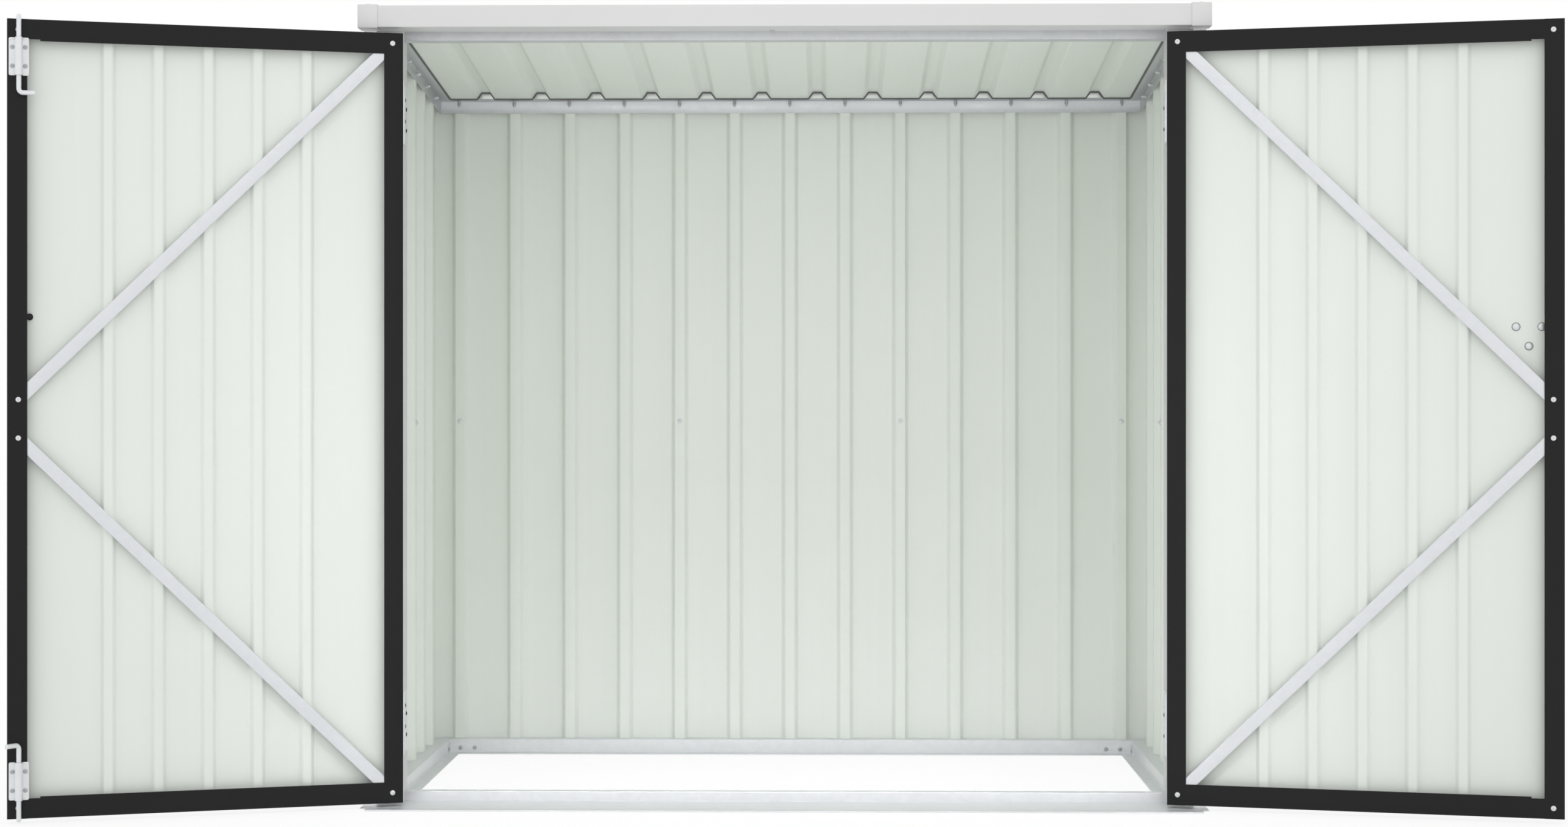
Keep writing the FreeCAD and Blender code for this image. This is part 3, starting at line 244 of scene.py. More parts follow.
LEFT_OPEN = math.radians(163)
RIGHT_OPEN = math.radians(167)
ROOF_ANGLE = math.radians(5)
left_inward = Vector((math.sin(LEFT_OPEN), math.cos(LEFT_OPEN), 0))
right_inward = Vector((-math.sin(RIGHT_OPEN), math.cos(RIGHT_OPEN), 0))
roof_inward = Vector((0, -math.sin(ROOF_ANGLE), -math.cos(ROOF_ANGLE)))
print("insides face", [[round(v, 2) for v in way] for way in (left_inward, right_inward, roof_inward)])

# %% Coat the sheets
UPRIGHT_STREAKS = (60.0, 60.0, 0.7)
ROOF_STREAKS = (60.0, 0.7, 60.0)
sheets = {
    "left_door_sheet": coated_sheet("left_door_coat", toward(left_inward), UPRIGHT_STREAKS,
                                    DOOR_BACKING),
    "right_door_sheet": coated_sheet("right_door_coat", toward(right_inward), UPRIGHT_STREAKS,
                                     DOOR_BACKING),
    "roof_sheet": coated_sheet("roof_coat", toward(roof_inward), ROOF_STREAKS),
    "front_left_panel": coated_sheet("left_jamb_coat", jamb_panel(-1), UPRIGHT_STREAKS),
    "front_right_panel": coated_sheet("right_jamb_coat", jamb_panel(1), UPRIGHT_STREAKS),
    "rear_left_panel": coated_sheet("left_corner_coat", corner_panel(-1), UPRIGHT_STREAKS),
    "rear_right_panel": coated_sheet("right_corner_coat", corner_panel(1), UPRIGHT_STREAKS),
}
back_coat = coated_sheet("back_coat", toward((0, -1, 0)), UPRIGHT_STREAKS)
for part in ("left", "centre", "right"):
    sheets[f"back_{part}_sheet"] = back_coat
print(len(sheets), "sheets coated")

# %% [markdown]
# ## Dark powder coat
# The door frames are channels sprayed in near-black powder. Powder flows into a skin with a
# fine pebble, and handling polishes it unevenly. A flat black would show neither, so a fine noise
# lifts the surface and a broad one lets the tone and the roughness drift a little.

# %% Door frame finish
PEBBLE = 1400.0
DRIFT = 6.0
powder = Finish("dark_powder_coat", Specular_IOR_Level=0.2)
pebble = powder.noise(PEBBLE)
drift = powder.noise(DRIFT, detail=4.0)
powder.give(Base_Color=powder.mix(drift * 0.7 + pebble * 0.3, shade(0.0090), shade(0.0130)),
            Roughness=0.48 + (drift - 0.5) * 0.14)
powder.bump(pebble, strength=0.12, distance=0.0003)
print(powder.material.name)

# %% [markdown]
# ## Galvanised and zinc-plated steel
# The rails and braces are hot-dip galvanised: large dull spangles of slightly different greys.
# A Voronoi cell per spangle, with its own random grey, gives that better than noise does. The
# bolts, hinges and screws are electroplated, which is finer and has no spangle. The rails under
# the roof are the same zinc as those on the ground; a darker copy of it paints the shade that the
# roof and fascia cast on them. A darker copy of the plated zinc paints the shade round some screws.

# %% Zinc finishes
SPANGLE = 85.0
HAZE = 9.0
DIP_GRAIN = 420.0
BLOOM = 45.0
PLATING_GRAIN = 1100.0


def galvanised(name, light, dark, metallic):
    finish = Finish(name, Metallic=metallic, Specular_IOR_Level=0.4)
    cell = finish.add("ShaderNodeTexVoronoi", {}, {"Vector": finish.point(), "Scale": SPANGLE}, "Color")
    spangle = finish.parts(cell)[0]
    haze = finish.noise(HAZE, detail=5.0)
    finish.give(Base_Color=finish.mix(spangle * 0.35 + haze * 0.65, dark, light),
                Roughness=0.34 + spangle * 0.08 + (haze - 0.5) * 0.12)
    finish.bump(spangle * 0.3 + finish.noise(DIP_GRAIN) * 0.7, strength=0.06, distance=0.0003)
    return finish.material


def plated(name, light, dark, metallic, roughness):
    finish = Finish(name, Metallic=metallic)
    bloom = finish.noise(BLOOM, detail=5.0)
    grain = finish.noise(PLATING_GRAIN)
    finish.give(Base_Color=finish.mix(bloom * 0.8 + grain * 0.2, dark, light),
                Roughness=roughness + (bloom - 0.5) * 0.2)
    finish.bump(grain, strength=0.05, distance=0.0002)
    return finish.material


rail_zinc = galvanised("rail_zinc", (0.80, 0.814, 0.832, 1), (0.70, 0.714, 0.732, 1), 0.45)
# painted shade: a darker copy of rail_zinc for the top rails, which lie in the shade of the roof and fascia
shaded_rail_zinc = galvanised("shaded_rail_zinc", (0.650, 0.664, 0.680, 1), (0.545, 0.558, 0.574, 1), 0.45)
brace_zinc = galvanised("brace_zinc", (0.75, 0.765, 0.79, 1), (0.68, 0.695, 0.72, 1), 0.3)
bright_zinc = plated("bright_zinc", (0.82, 0.83, 0.845, 1), (0.71, 0.72, 0.74, 1), 0.35, 0.36)
# painted shade: a darker copy of bright_zinc, for the shade round domed heads and screw points
shaded_screw_zinc = plated("shaded_screw_zinc", (0.56, 0.57, 0.59, 1), (0.41, 0.42, 0.44, 1), 0.55, 0.34)
black_oxide = plated("black_oxide", shade(0.020), shade(0.010), 0.2, 0.45)
zincs = (rail_zinc, shaded_rail_zinc, brace_zinc, bright_zinc, shaded_screw_zinc, black_oxide)
print([zinc.name for zinc in zincs])

# %% [markdown]
# ## White trim, moulded caps, rubber, and the dark foam that paints shadow
# The fascia and the side trims are enamelled steel, smoother than the walls. The corner caps
# are moulded plastic with the same grey white, but a duller, slightly sparked surface. Rubber
# and the dark foam, which paints the shadow under the roof's edges, are coarser still. All four differ only in
# tone, gloss and grain, so one function with these as its values makes them.

# %% Trim, cap and seal finishes
ENAMEL_CLOUDS = 5.0


def enamel(name, light, dark, roughness, grain_scale, grain_depth):
    finish = Finish(name, Specular_IOR_Level=0.35)
    clouds = finish.noise(ENAMEL_CLOUDS, detail=4.0)
    grain = finish.noise(grain_scale)
    finish.give(Base_Color=finish.mix(clouds * 0.7 + grain * 0.3, dark, light),
                Roughness=roughness + (clouds - 0.5) * 0.1)
    finish.bump(grain, strength=grain_depth, distance=0.0004)
    return finish.material


trim_enamel = enamel("trim_enamel", shade(0.70), shade(0.65), 0.36, 650.0, 0.07)
cap_plastic = enamel("cap_plastic", shade(0.71), shade(0.66), 0.52, 1300.0, 0.16)
washer_rubber = enamel("washer_rubber", shade(0.06), shade(0.035), 0.75, 800.0, 0.2)
# painted shadow: the dark foam draws the shadow line under the roof's edges
painted_shadow_foam = enamel("painted_shadow_foam", shade(0.20), shade(0.14), 0.85, 500.0, 0.3)
print(trim_enamel.name, cap_plastic.name, washer_rubber.name, painted_shadow_foam.name)

# %% [markdown]
# ## Every CAD node takes its finish
# Each node's material slot in the record says what it is made of, so one table from slot to
# finish dresses them all, and the sheets keep the coats made for them above. Only the latch's
# bright bolts and the top rails are told apart by name.

# %% Dress the nodes
finish_of_slot = {
    "door_frame": powder.material, "galvanised": rail_zinc, "brace": brace_zinc,
    "zinc": bright_zinc, "dark_screw": black_oxide, "latch": black_oxide,
    "trim": trim_enamel, "cap": cap_plastic,
}
TOP_RAILS = ("header_rail", "rear_top_rail", "left_top_rail", "right_top_rail")


def finish_for(name):
    if name == "latch_bolts":
        return bright_zinc
    # the top rails take the darker rail zinc, which is painted shade
    if name in TOP_RAILS:
        return shaded_rail_zinc
    return sheets.get(name) or finish_of_slot[slot_of_node[name]]


for name, thing in nodes.items():
    thing.data.materials.clear()
    thing.data.materials.append(finish_for(name))
print(len(nodes), "nodes dressed")

# %% [markdown]
# ## Folds with a radius
# A press brake never leaves a knife edge: every fold has a small radius, which catches a thin
# line of light. The CAD folds are sharp, so each folded piece is copied, its triangles merged
# back into flat faces, and the long edges where two wide faces meet are bevelled. Cut edges and
# screw holes are left alone. Bevelling by a modifier would also round the cut edges, which are
# only as wide as the sheet, so the edges are picked in code by their angle and their faces' width.

# %% Merge a copy and pick from it
MERGE = 0.000002
MODES = {"verts": "VERT", "edges": "EDGE", "faces": "FACE"}


def only(piece):
    bpy.ops.object.select_all(action="DESELECT")
    piece.select_set(True)
    bpy.context.view_layer.objects.active = piece


def merged_copy(node, name):
    """A copy of a CAD mesh in edit mode, with its loose triangles joined up."""
    piece = bpy.data.objects.new(name, nodes[node].data.copy())
    bpy.context.collection.objects.link(piece)
    only(piece)
    bpy.ops.object.mode_set(mode="EDIT")
    bpy.ops.mesh.select_mode(type="EDGE")
    bpy.ops.mesh.select_all(action="SELECT")
    bpy.ops.mesh.remove_doubles(threshold=MERGE)
    return piece


def pick(piece, kind, test):
    """Select the verts, edges or faces of the piece in edit mode that pass a test."""
    bpy.ops.mesh.select_mode(type=MODES[kind])
    bpy.ops.mesh.select_all(action="DESELECT")
    mesh = bmesh.from_edit_mesh(piece.data)
    chosen = [item for item in getattr(mesh, kind) if test(item)]
    for item in chosen:
        item.select_set(True)
    mesh.select_flush_mode()
    bmesh.update_edit_mesh(piece.data)
    return len(chosen)


print("points closer than", MERGE, "m are merged")

# %% Soften one piece
LEAST_LENGTH = 6
LEAST_WIDTH = 2.2
LEAST_ANGLE = math.radians(15)
FLAT = math.radians(0.5)
SMOOTH_FOLDS = math.radians(40)


def face_width(face):
    return 2 * face.calc_area() / face.calc_perimeter()


def is_fold(edge, offset):
    """A fold joins two faces at an angle, and is long and wide enough for its radius."""
    if len(edge.link_faces) != 2 or edge.calc_length() < LEAST_LENGTH * offset:
        return False
    if edge.calc_face_angle() < LEAST_ANGLE:
        return False
    return min(face_width(face) for face in edge.link_faces) > LEAST_WIDTH * offset


def soften(name, offset, segments=3):
    piece = merged_copy(name, f"{name}_pressed")
    bpy.ops.mesh.dissolve_limited(angle_limit=FLAT)
    folds = pick(piece, "edges", lambda edge: is_fold(edge, offset))
    if folds:
        bpy.ops.mesh.bevel(offset=offset, segments=segments, affect="EDGES", clamp_overlap=True)
    bpy.ops.object.mode_set(mode="OBJECT")
    bpy.ops.object.shade_smooth_by_angle(angle=SMOOTH_FOLDS)
    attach(piece, body_of_node[name])
    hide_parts(name)
    return folds


print("a fold bends by at least", round(math.degrees(LEAST_ANGLE)), "degrees")

# %% Soften every folded piece
RIB_BEND = 0.0022
RAIL_FOLD = 0.0014
TRIM_FOLD = 0.0018
PLATE_EDGE = 0.0005
fold_of_slot = {
    "wall_sheet": RIB_BEND, "door_sheet": RIB_BEND, "door_frame": RAIL_FOLD,
    "galvanised": RAIL_FOLD, "brace": RAIL_FOLD, "trim": TRIM_FOLD, "cap": TRIM_FOLD,
}
softened = {name: soften(name, fold_of_slot[slot]) for name, slot in slot_of_node.items()
            if slot in fold_of_slot}
plates = ["latch_plate", "latch_keeper", "latch_bar", "latch_bolts", "hinge_screws"]
for side in ("left", "right"):
    plates += [f"{side}_jamb_leaves", f"{side}_door_leaves", f"{side}_hinge_pins"]
for name in plates:
    softened[name] = soften(name, PLATE_EDGE, 2)
print(len(softened), "pieces,", sum(softened.values()), "folds rounded")

# %% [markdown]
# ## Pan-head screws
# The doors and the bolt plates are held by low domed screws with a cross recess. A sphere cut in
# half would be too round, so a disc is extruded and scaled in steps into a low dome, and the
# cross is cut with a boolean. The same way of growing a disc makes all the round hardware.


# %% Discs that grow
def disc(vertices, radius, z):
    """Start a round piece in edit mode: a filled circle, all selected."""
    bpy.ops.object.select_all(action="DESELECT")
    bpy.ops.mesh.primitive_circle_add(vertices=vertices, radius=radius, fill_type="NGON",
                                      location=(0, 0, z))
    bpy.ops.object.mode_set(mode="EDIT")
    bpy.ops.mesh.select_all(action="SELECT")
    return bpy.context.object


def grow(rise, spread):
    """Extrude the selection along Z and scale its new end."""
    bpy.ops.mesh.extrude_region_move(TRANSFORM_OT_translate={"value": (0, 0, rise)})
    bpy.ops.transform.resize(value=(spread, spread, 1))


def close(piece):
    """Turn the faces outwards and leave edit mode, with the place in the mesh."""
    bpy.ops.mesh.select_all(action="SELECT")
    bpy.ops.mesh.normals_make_consistent(inside=False)
    bpy.ops.object.mode_set(mode="OBJECT")
    only(piece)
    bpy.ops.object.transform_apply(location=True, rotation=True, scale=True)
    return piece


print("round pieces start as a disc")

# %% Model a pan head once
DOME = ((0.30, 1.0), (0.30, 0.93), (0.24, 0.80), (0.16, 0.55))


def domed_head(radius, height):
    head = disc(28, radius, -height)
    for rise, shrink in DOME:
        grow(height * rise, shrink)
    return close(head)


def cut_cross(head, arm, width, depth):
    for long, wide in ((arm, width), (width, arm)):
        bpy.ops.object.select_all(action="DESELECT")
        bpy.ops.mesh.primitive_cube_add(size=1, location=(0, 0, 0), scale=(long, wide, 2 * depth))
        slot = bpy.context.object
        only(head)
        cutter = head.modifiers.new("recess", "BOOLEAN")
        cutter.object = slot
        cutter.operation = "DIFFERENCE"
        cutter.solver = "EXACT"
        bpy.ops.object.modifier_apply(modifier=cutter.name)
        bpy.data.objects.remove(slot)


door_head = domed_head(radius=0.005, height=0.003)
cut_cross(door_head, arm=0.0046, width=0.0011, depth=0.0016)
plate_head = domed_head(radius=0.0043, height=0.0028)
cut_cross(plate_head, arm=0.0042, width=0.0011, depth=0.0016)
print("heads of", len(door_head.data.polygons), "and", len(plate_head.data.polygons), "faces")

# %% [markdown]
# ## Where the screws sit
# The places could be typed in, but the CAD screws already have them. A node holds several loose
# screws: their joined-up points are walked from edge to edge, and the middle of each screw and its
# outermost point along the screw's axis give the seat. The master is then copied to each seat.


# %% Find the screws of a node
def screw_places(name, axis):
    """Top centre, head radius and length of every loose screw in a CAD node, along an axis."""
    mesh = bmesh.new()
    mesh.from_mesh(nodes[name].data)
    bmesh.ops.remove_doubles(mesh, verts=mesh.verts, dist=MERGE)
    waiting = set(mesh.verts)
    places = []
    while waiting:
        island = [waiting.pop()]
        for vertex in island:
            for edge in vertex.link_edges:
                other = edge.other_vert(vertex)
                if other in waiting:
                    waiting.remove(other)
                    island.append(other)
        points = [vertex.co.copy() for vertex in island]
        centre = sum(points, Vector()) / len(points)
        heights = [point.dot(axis) for point in points]
        top = max(heights)
        width = max((p - centre - axis * (p - centre).dot(axis)).length for p in points)
        places.append((centre + axis * (top - centre.dot(axis)), width, top - min(heights)))
    mesh.free()
    return places


door_screws = {"left": screw_places("left_door_screws", left_inward),
               "right": screw_places("right_door_screws", right_inward)}
print({side: len(places) for side, places in door_screws.items()}, "door screws found")

# %% Set the door screws
SMOOTH_HEADS = math.radians(35)
SMALLEST_DOOR_HEAD = 0.004


def set_down(master, name, seats, finish, body):
    """One piece made of a copy of the master at each seat: a place, and the way its +Z points."""
    copies = []
    for place, axis in seats:
        turn = axis.to_track_quat("Z", "Y").to_matrix().to_4x4()
        copy = bpy.data.objects.new(name, master.data.copy())
        copy.data.transform(Matrix.Translation(place) @ turn)
        bpy.context.collection.objects.link(copy)
        copies.append(copy)
    only(copies[0])
    for copy in copies:
        copy.select_set(True)
    if len(copies) > 1:
        bpy.ops.object.join()
    piece = bpy.context.object
    piece.name = name
    bpy.ops.object.shade_smooth_by_angle(angle=SMOOTH_HEADS)
    piece.data.materials.clear()
    piece.data.materials.append(finish)
    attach(piece, body)
    return piece


for side, inward in (("left", left_inward), ("right", right_inward)):
    large = [(place, inward) for place, width, length in door_screws[side] if width > SMALLEST_DOOR_HEAD]
    small = [(place, inward) for place, width, length in door_screws[side] if width <= SMALLEST_DOOR_HEAD]
    heads = set_down(door_head, f"{side}_frame_screws", large, bright_zinc, f"{side}_door")
    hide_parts(f"{side}_door_screws")
    if small:
        set_down(plate_head, "bolt_plate_screws", small, shaded_screw_zinc, "left_door")
    print(side, len(large), "frame screws,", len(small), "plate screws")

# %% [markdown]
# ## Self-drilling screws
# The roof, the top rails and the wall laps are held by self-drilling screws: a hexagon with a
# flange outside, and a drill point that shows inside. A true helix would cost many faces on a
# thread a few millimetres long, so the shank is a disc grown in steps, wide and narrow in turn.
# The length comes from the CAD screw. On the roof a black rubber washer seals each hole.

# %% Model a hexagon screw
FLANGE = 0.0010
CHAMFER = 0.0004
HEX_CORNER = 0.68
FLANGE_EDGE = 0.97
SHANK = 0.0030
THREADS = 5
THREAD_RISE = 1.25
PLAIN, HALF_THREADS, NECK, DRILL = 0.15, 0.30, 0.08, 0.17


def join(*pieces):
    only(pieces[0])
    for piece in pieces:
        piece.select_set(True)
    bpy.ops.object.join()
    return pieces[0]


def hex_screw(head, height, length):
    """A flanged hexagon screw with its top at the origin and its drill point downwards."""
    hexagon = disc(6, HEX_CORNER * head, FLANGE - CHAMFER - height)
    grow(height - FLANGE, 1.0)
    grow(CHAMFER, 0.88)
    hexagon = close(hexagon)
    flange = disc(24, FLANGE_EDGE * head, -height)
    grow(FLANGE * 0.5, 1.0)
    grow(FLANGE * 0.5, 0.74)
    flange = close(flange)
    reach = length - height
    shank = disc(12, SHANK, -height)
    grow(-PLAIN * reach, 1.0)
    for turn in range(THREADS):
        grow(-HALF_THREADS * reach / THREADS, THREAD_RISE)
        grow(-HALF_THREADS * reach / THREADS, 1 / THREAD_RISE)
    grow(-NECK * reach, 0.85)
    grow(-DRILL * reach, 0.15)
    return join(hexagon, flange, close(shank))


ROOF_HEAD_RISE = 0.004
roof_outward = -roof_inward
roof_screws = screw_places("roof_screws", roof_outward)
roof_head, roof_length = roof_screws[0][1:]
roof_screw = hex_screw(roof_head, ROOF_HEAD_RISE, roof_length)
print("roof screw", round(roof_length, 4), "m long,", len(roof_screw.data.polygons), "faces")

# %% Set the roof screws and their washers
roof_seats = [(place, roof_outward) for place, width, length in roof_screws]
screws = set_down(roof_screw, "roof_hex_screws", roof_seats, shaded_screw_zinc, "cabinet")
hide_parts("roof_screws")
washer = disc(24, roof_head, -ROOF_HEAD_RISE)
grow(0.0004, 0.97)
washer = close(washer)
seals = set_down(washer, "roof_screw_seals", roof_seats, washer_rubber, "cabinet")
print(len(roof_seats), "roof screws and seals")

# %% [markdown]
# ## Screws of the walls, rails and brackets
# These nodes hold screws whose heads face several ways, so a screw's place tells which way it
# faces: outwards on a wall, upwards on a corner cap, inwards on a foot bracket. At the wall laps
# a press-on nut holds each point, so its round dished shape is modelled too.

# %% Sort the screws by the way they face
LEFT, RIGHT = Vector((-1, 0, 0)), Vector((1, 0, 0))
FRONT, REAR, UP = Vector((0, -1, 0)), Vector((0, 1, 0)), Vector((0, 0, 1))
WALL_INSIDE = 0.765
CAP_REAR = 0.1
FOOT_TOP = 0.1
BRACKET_CORNER = 0.745


def gathered(name, *groups):
    """Screws of one node whose heads face several ways; each group has a way and a test."""
    return [(place, axis, width, length) for axis, belongs in groups
            for place, width, length in screw_places(name, axis) if belongs(place)]


lap_screws = gathered(
    "panel_screws", (LEFT, lambda p: p.x < -WALL_INSIDE and p.y > CAP_REAR),
    (RIGHT, lambda p: p.x > WALL_INSIDE and p.y > CAP_REAR), (REAR, lambda p: p.y > WALL_INSIDE))
cap_screws = gathered("panel_screws", (UP, lambda p: p.y < CAP_REAR))
rail_screws = gathered(
    "rail_screws", (LEFT, lambda p: p.x < -WALL_INSIDE and p.z > FOOT_TOP),
    (RIGHT, lambda p: p.x > WALL_INSIDE and p.z > FOOT_TOP))
bracket_screws = gathered(
    "rail_screws", (FRONT, lambda p: p.z < FOOT_TOP and p.y > BRACKET_CORNER),
    (RIGHT, lambda p: p.z < FOOT_TOP and p.y < BRACKET_CORNER and p.x < 0),
    (LEFT, lambda p: p.z < FOOT_TOP and p.y < BRACKET_CORNER and p.x > 0))
print(len(lap_screws), "lap,", len(cap_screws), "cap,", len(rail_screws), "rail and",
      len(bracket_screws), "bracket screws")

# %% Model the other screws and the nut
LAP_HEAD_RISE = 0.003
RAIL_HEAD_RISE = 0.0035
NUT = 0.0056
NUT_STEPS = ((0.0012, 1.0), (0.0013, 0.80), (0.0, 0.62), (-0.0012, 0.92))


def press_nut():
    """A round nut with a dished middle, standing on the origin."""
    nut = disc(18, NUT, 0)
    for rise, spread in NUT_STEPS:
        grow(rise, spread)
    return close(nut)


lap_screw = hex_screw(lap_screws[0][2], LAP_HEAD_RISE, max(screw[3] for screw in lap_screws))
rail_screw = hex_screw(rail_screws[0][2], RAIL_HEAD_RISE, rail_screws[0][3])
bracket_head = domed_head(bracket_screws[0][2], RAIL_HEAD_RISE)
cut_cross(bracket_head, arm=0.0046, width=0.0011, depth=0.0018)
lap_nut = press_nut()
print("nut of", len(lap_nut.data.polygons), "faces")

# %% Set the other screws and the nuts
LAP_POINT = 0.006


def seats_of(screws):
    return [(place, axis) for place, axis, width, length in screws]


laps = set_down(lap_screw, "lap_screws", seats_of(lap_screws), bright_zinc, "cabinet")
caps = set_down(door_head, "cap_screws", seats_of(cap_screws), bright_zinc, "cabinet")
walls = set_down(rail_screw, "top_rail_screws", seats_of(rail_screws), bright_zinc, "cabinet")
feet = set_down(bracket_head, "bracket_screws", seats_of(bracket_screws), shaded_screw_zinc, "cabinet")
nut_seats = [(place - axis * (length - LAP_POINT), -axis)
             for place, axis, width, length in lap_screws]
nuts = set_down(lap_nut, "lap_nuts", nut_seats, bright_zinc, "cabinet")
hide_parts("panel_screws")
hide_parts("rail_screws")
print([piece.name for piece in (laps, caps, walls, feet, nuts)])

# %% [markdown]
# ## The dark line under the roof, painted shadow
# A dark line runs along the rear and side top rails, up and over every rib: the shadow in the gap
# between the rails and the roof, painted as a thin dark foam tape. It follows the roof's own profile, so it isn't
# drawn again: a copy of the roof sheet is cut by four planes to a narrow slice, only its underside is kept, and
# a Solidify modifier gives that skin the tape's thickness.

# %% Cut a dark shadow tape from the roof's underside
UNDERSIDE = 0.2


def roof_shadow_tape(name, low, high, thickness):
    """Dark tape under the roof that paints its shadow, between two x and two y values."""
    shadow_tape = merged_copy("roof_sheet", name)
    for corner, sign in ((low, 1), (high, -1)):
        for way in ((sign, 0, 0), (0, sign, 0)):
            bpy.ops.mesh.select_all(action="SELECT")
            bpy.ops.mesh.bisect(plane_co=(corner[0], corner[1], 0), plane_no=way, clear_inner=True)
    pick(shadow_tape, "faces", lambda face: face.normal.dot(roof_inward) < UNDERSIDE)
    bpy.ops.mesh.delete(type="FACE")
    bpy.ops.object.mode_set(mode="OBJECT")
    skin = shadow_tape.modifiers.new("thickness", "SOLIDIFY")
    skin.thickness = thickness
    skin.offset = 1
    bpy.ops.object.modifier_apply(modifier=skin.name)
    return shadow_tape


REAR_SHADOW_TAPE = 0.0028
SIDE_SHADOW_TAPE = 0.0018
SHADOW_TAPE_PROUD = 0.0015
SHADOW_TAPE_WIDTH = 0.0045
inner_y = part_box("rear_top_rail")[0][1]
side_low, side_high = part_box("left_top_rail")
inner_x, front_y = -side_high[0], side_low[1]
near_x = inner_x - SHADOW_TAPE_PROUD
far_x = near_x + SHADOW_TAPE_WIDTH
shadow_tape = join(
    roof_shadow_tape("roof_shadow_line", (-inner_x, inner_y - SHADOW_TAPE_PROUD), (inner_x, inner_y + SHADOW_TAPE_WIDTH), REAR_SHADOW_TAPE),
    roof_shadow_tape("left_shadow_line", (-far_x, front_y), (-near_x, inner_y), SIDE_SHADOW_TAPE),
    roof_shadow_tape("right_shadow_line", (near_x, front_y), (far_x, inner_y), SIDE_SHADOW_TAPE))
shadow_tape.data.materials.clear()
shadow_tape.data.materials.append(painted_shadow_foam)
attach(shadow_tape, "cabinet")
print(shadow_tape.name, len(shadow_tape.data.polygons), "faces")

# %% [markdown]
# ## Dark washers of the latch, painted shade
# Three bolts hold the latch from outside, and their round nuts show inside the right door. Each
# sits on a thin dark steel washer, dull beside the bright nut, which paints the grey ring of shade
# round it. A flat disc would have a knife edge, so its rim is stepped in once as a punch leaves it.

# %% Punch a dark washer that paints the shade round each latch nut
NUT_RISE = 0.004
SHADE_RING = 0.0079
SHADE_RING_GAUGE = 0.0008
# painted shade: the dark washer draws the ring of shade round each bright nut
painted_shade_ring_steel = plated("painted_shade_ring_steel", shade(0.30), shade(0.22), 0.4, 0.5)
latch_shade_ring = disc(32, SHADE_RING, 0)
grow(SHADE_RING_GAUGE * 0.7, 1.0)
grow(SHADE_RING_GAUGE * 0.3, 0.97)
latch_shade_ring = close(latch_shade_ring)
shade_ring_seats = [(place - right_inward * NUT_RISE, right_inward)
                for place, width, length in screw_places("latch_bolts", right_inward)]
shade_rings = set_down(latch_shade_ring, "latch_shade_rings", shade_ring_seats, painted_shade_ring_steel, "right_door")
print(len(shade_ring_seats), "latch washers")

# %% [markdown]
# ## Tower bolt housings
# Each bolt runs in a housing pressed from one strip: two wings with screws, a round channel over
# the rod, and a raised rim across each end. A block with a barrel on it would look cast, so the
# strip is drawn as a line first: half a circle whose ends are extruded down and then outwards.
# The line is extruded to the housing's height, and a Solidify modifier gives the strip its gauge.

# %% Draw the strip and raise it
WING = 0.018
CHANNEL = 0.0060
STRIP = 0.0010
RIM_BAND = 0.0034
TINY = 0.00001


def strip_line(depth):
    """The strip seen end on, in edit mode: its back on y = 0 and its channel over the middle."""
    bpy.ops.object.select_all(action="DESELECT")
    bpy.ops.mesh.primitive_circle_add(vertices=32, radius=CHANNEL)
    piece = bpy.context.object
    bpy.ops.object.mode_set(mode="EDIT")
    pick(piece, "verts", lambda v: v.co.y < -TINY)
    bpy.ops.mesh.delete(type="VERT")
    bpy.ops.mesh.select_all(action="SELECT")
    centre = depth - STRIP - CHANNEL
    bpy.ops.transform.translate(value=(0, centre, 0))
    pick(piece, "verts", lambda v: abs(v.co.y - centre) < TINY)
    bpy.ops.mesh.extrude_region_move(TRANSFORM_OT_translate={"value": (0, -centre, 0)})
    bpy.ops.mesh.extrude_region_move(TRANSFORM_OT_translate={"value": (0, 0, 0)})
    bpy.ops.transform.resize(value=(WING / CHANNEL, 1, 1), center_override=(0, 0, 0))
    return piece


def raise_strip(height):
    """Extrude the line upwards in three bands, the outer two for the rims."""
    bpy.ops.mesh.select_mode(type="EDGE")
    bpy.ops.mesh.select_all(action="SELECT")
    for rise in (RIM_BAND, height - 2 * RIM_BAND, RIM_BAND):
        bpy.ops.mesh.extrude_region_move(TRANSFORM_OT_translate={"value": (0, 0, rise)})


print("strip", round(2 * WING, 4), "m wide over a channel of", round(2 * CHANNEL, 4), "m")

# %% Fold the strip and press its rims
RIM_RISE = 0.0010
WING_CORNER = 0.0030
FOLD = 0.0012
EDGE_BREAK = 0.00025


def edge_middle(edge):
    return (edge.verts[0].co + edge.verts[1].co) / 2


def edge_way(edge):
    return (edge.verts[1].co - edge.verts[0].co).normalized()


def fold_strip(piece):
    """Round the folds beside the channel and give the strip its gauge, to the outside."""
    pick(piece, "edges", lambda e: abs(edge_way(e).z) > 0.9 and edge_middle(e).y < TINY
         and abs(abs(edge_middle(e).x) - CHANNEL) < TINY)
    bpy.ops.mesh.bevel(offset=FOLD, segments=3, affect="EDGES")
    bpy.ops.mesh.select_all(action="SELECT")
    bpy.ops.mesh.normals_make_consistent(inside=False)
    wing = max(bmesh.from_edit_mesh(piece.data).faces, key=lambda face: face.calc_area())
    if wing.normal.y < 0:
        bpy.ops.mesh.flip_normals()
    bpy.ops.object.mode_set(mode="OBJECT")
    wall = piece.modifiers.new("gauge", "SOLIDIFY")
    wall.thickness = STRIP
    wall.offset = 1
    bpy.ops.object.modifier_apply(modifier=wall.name)


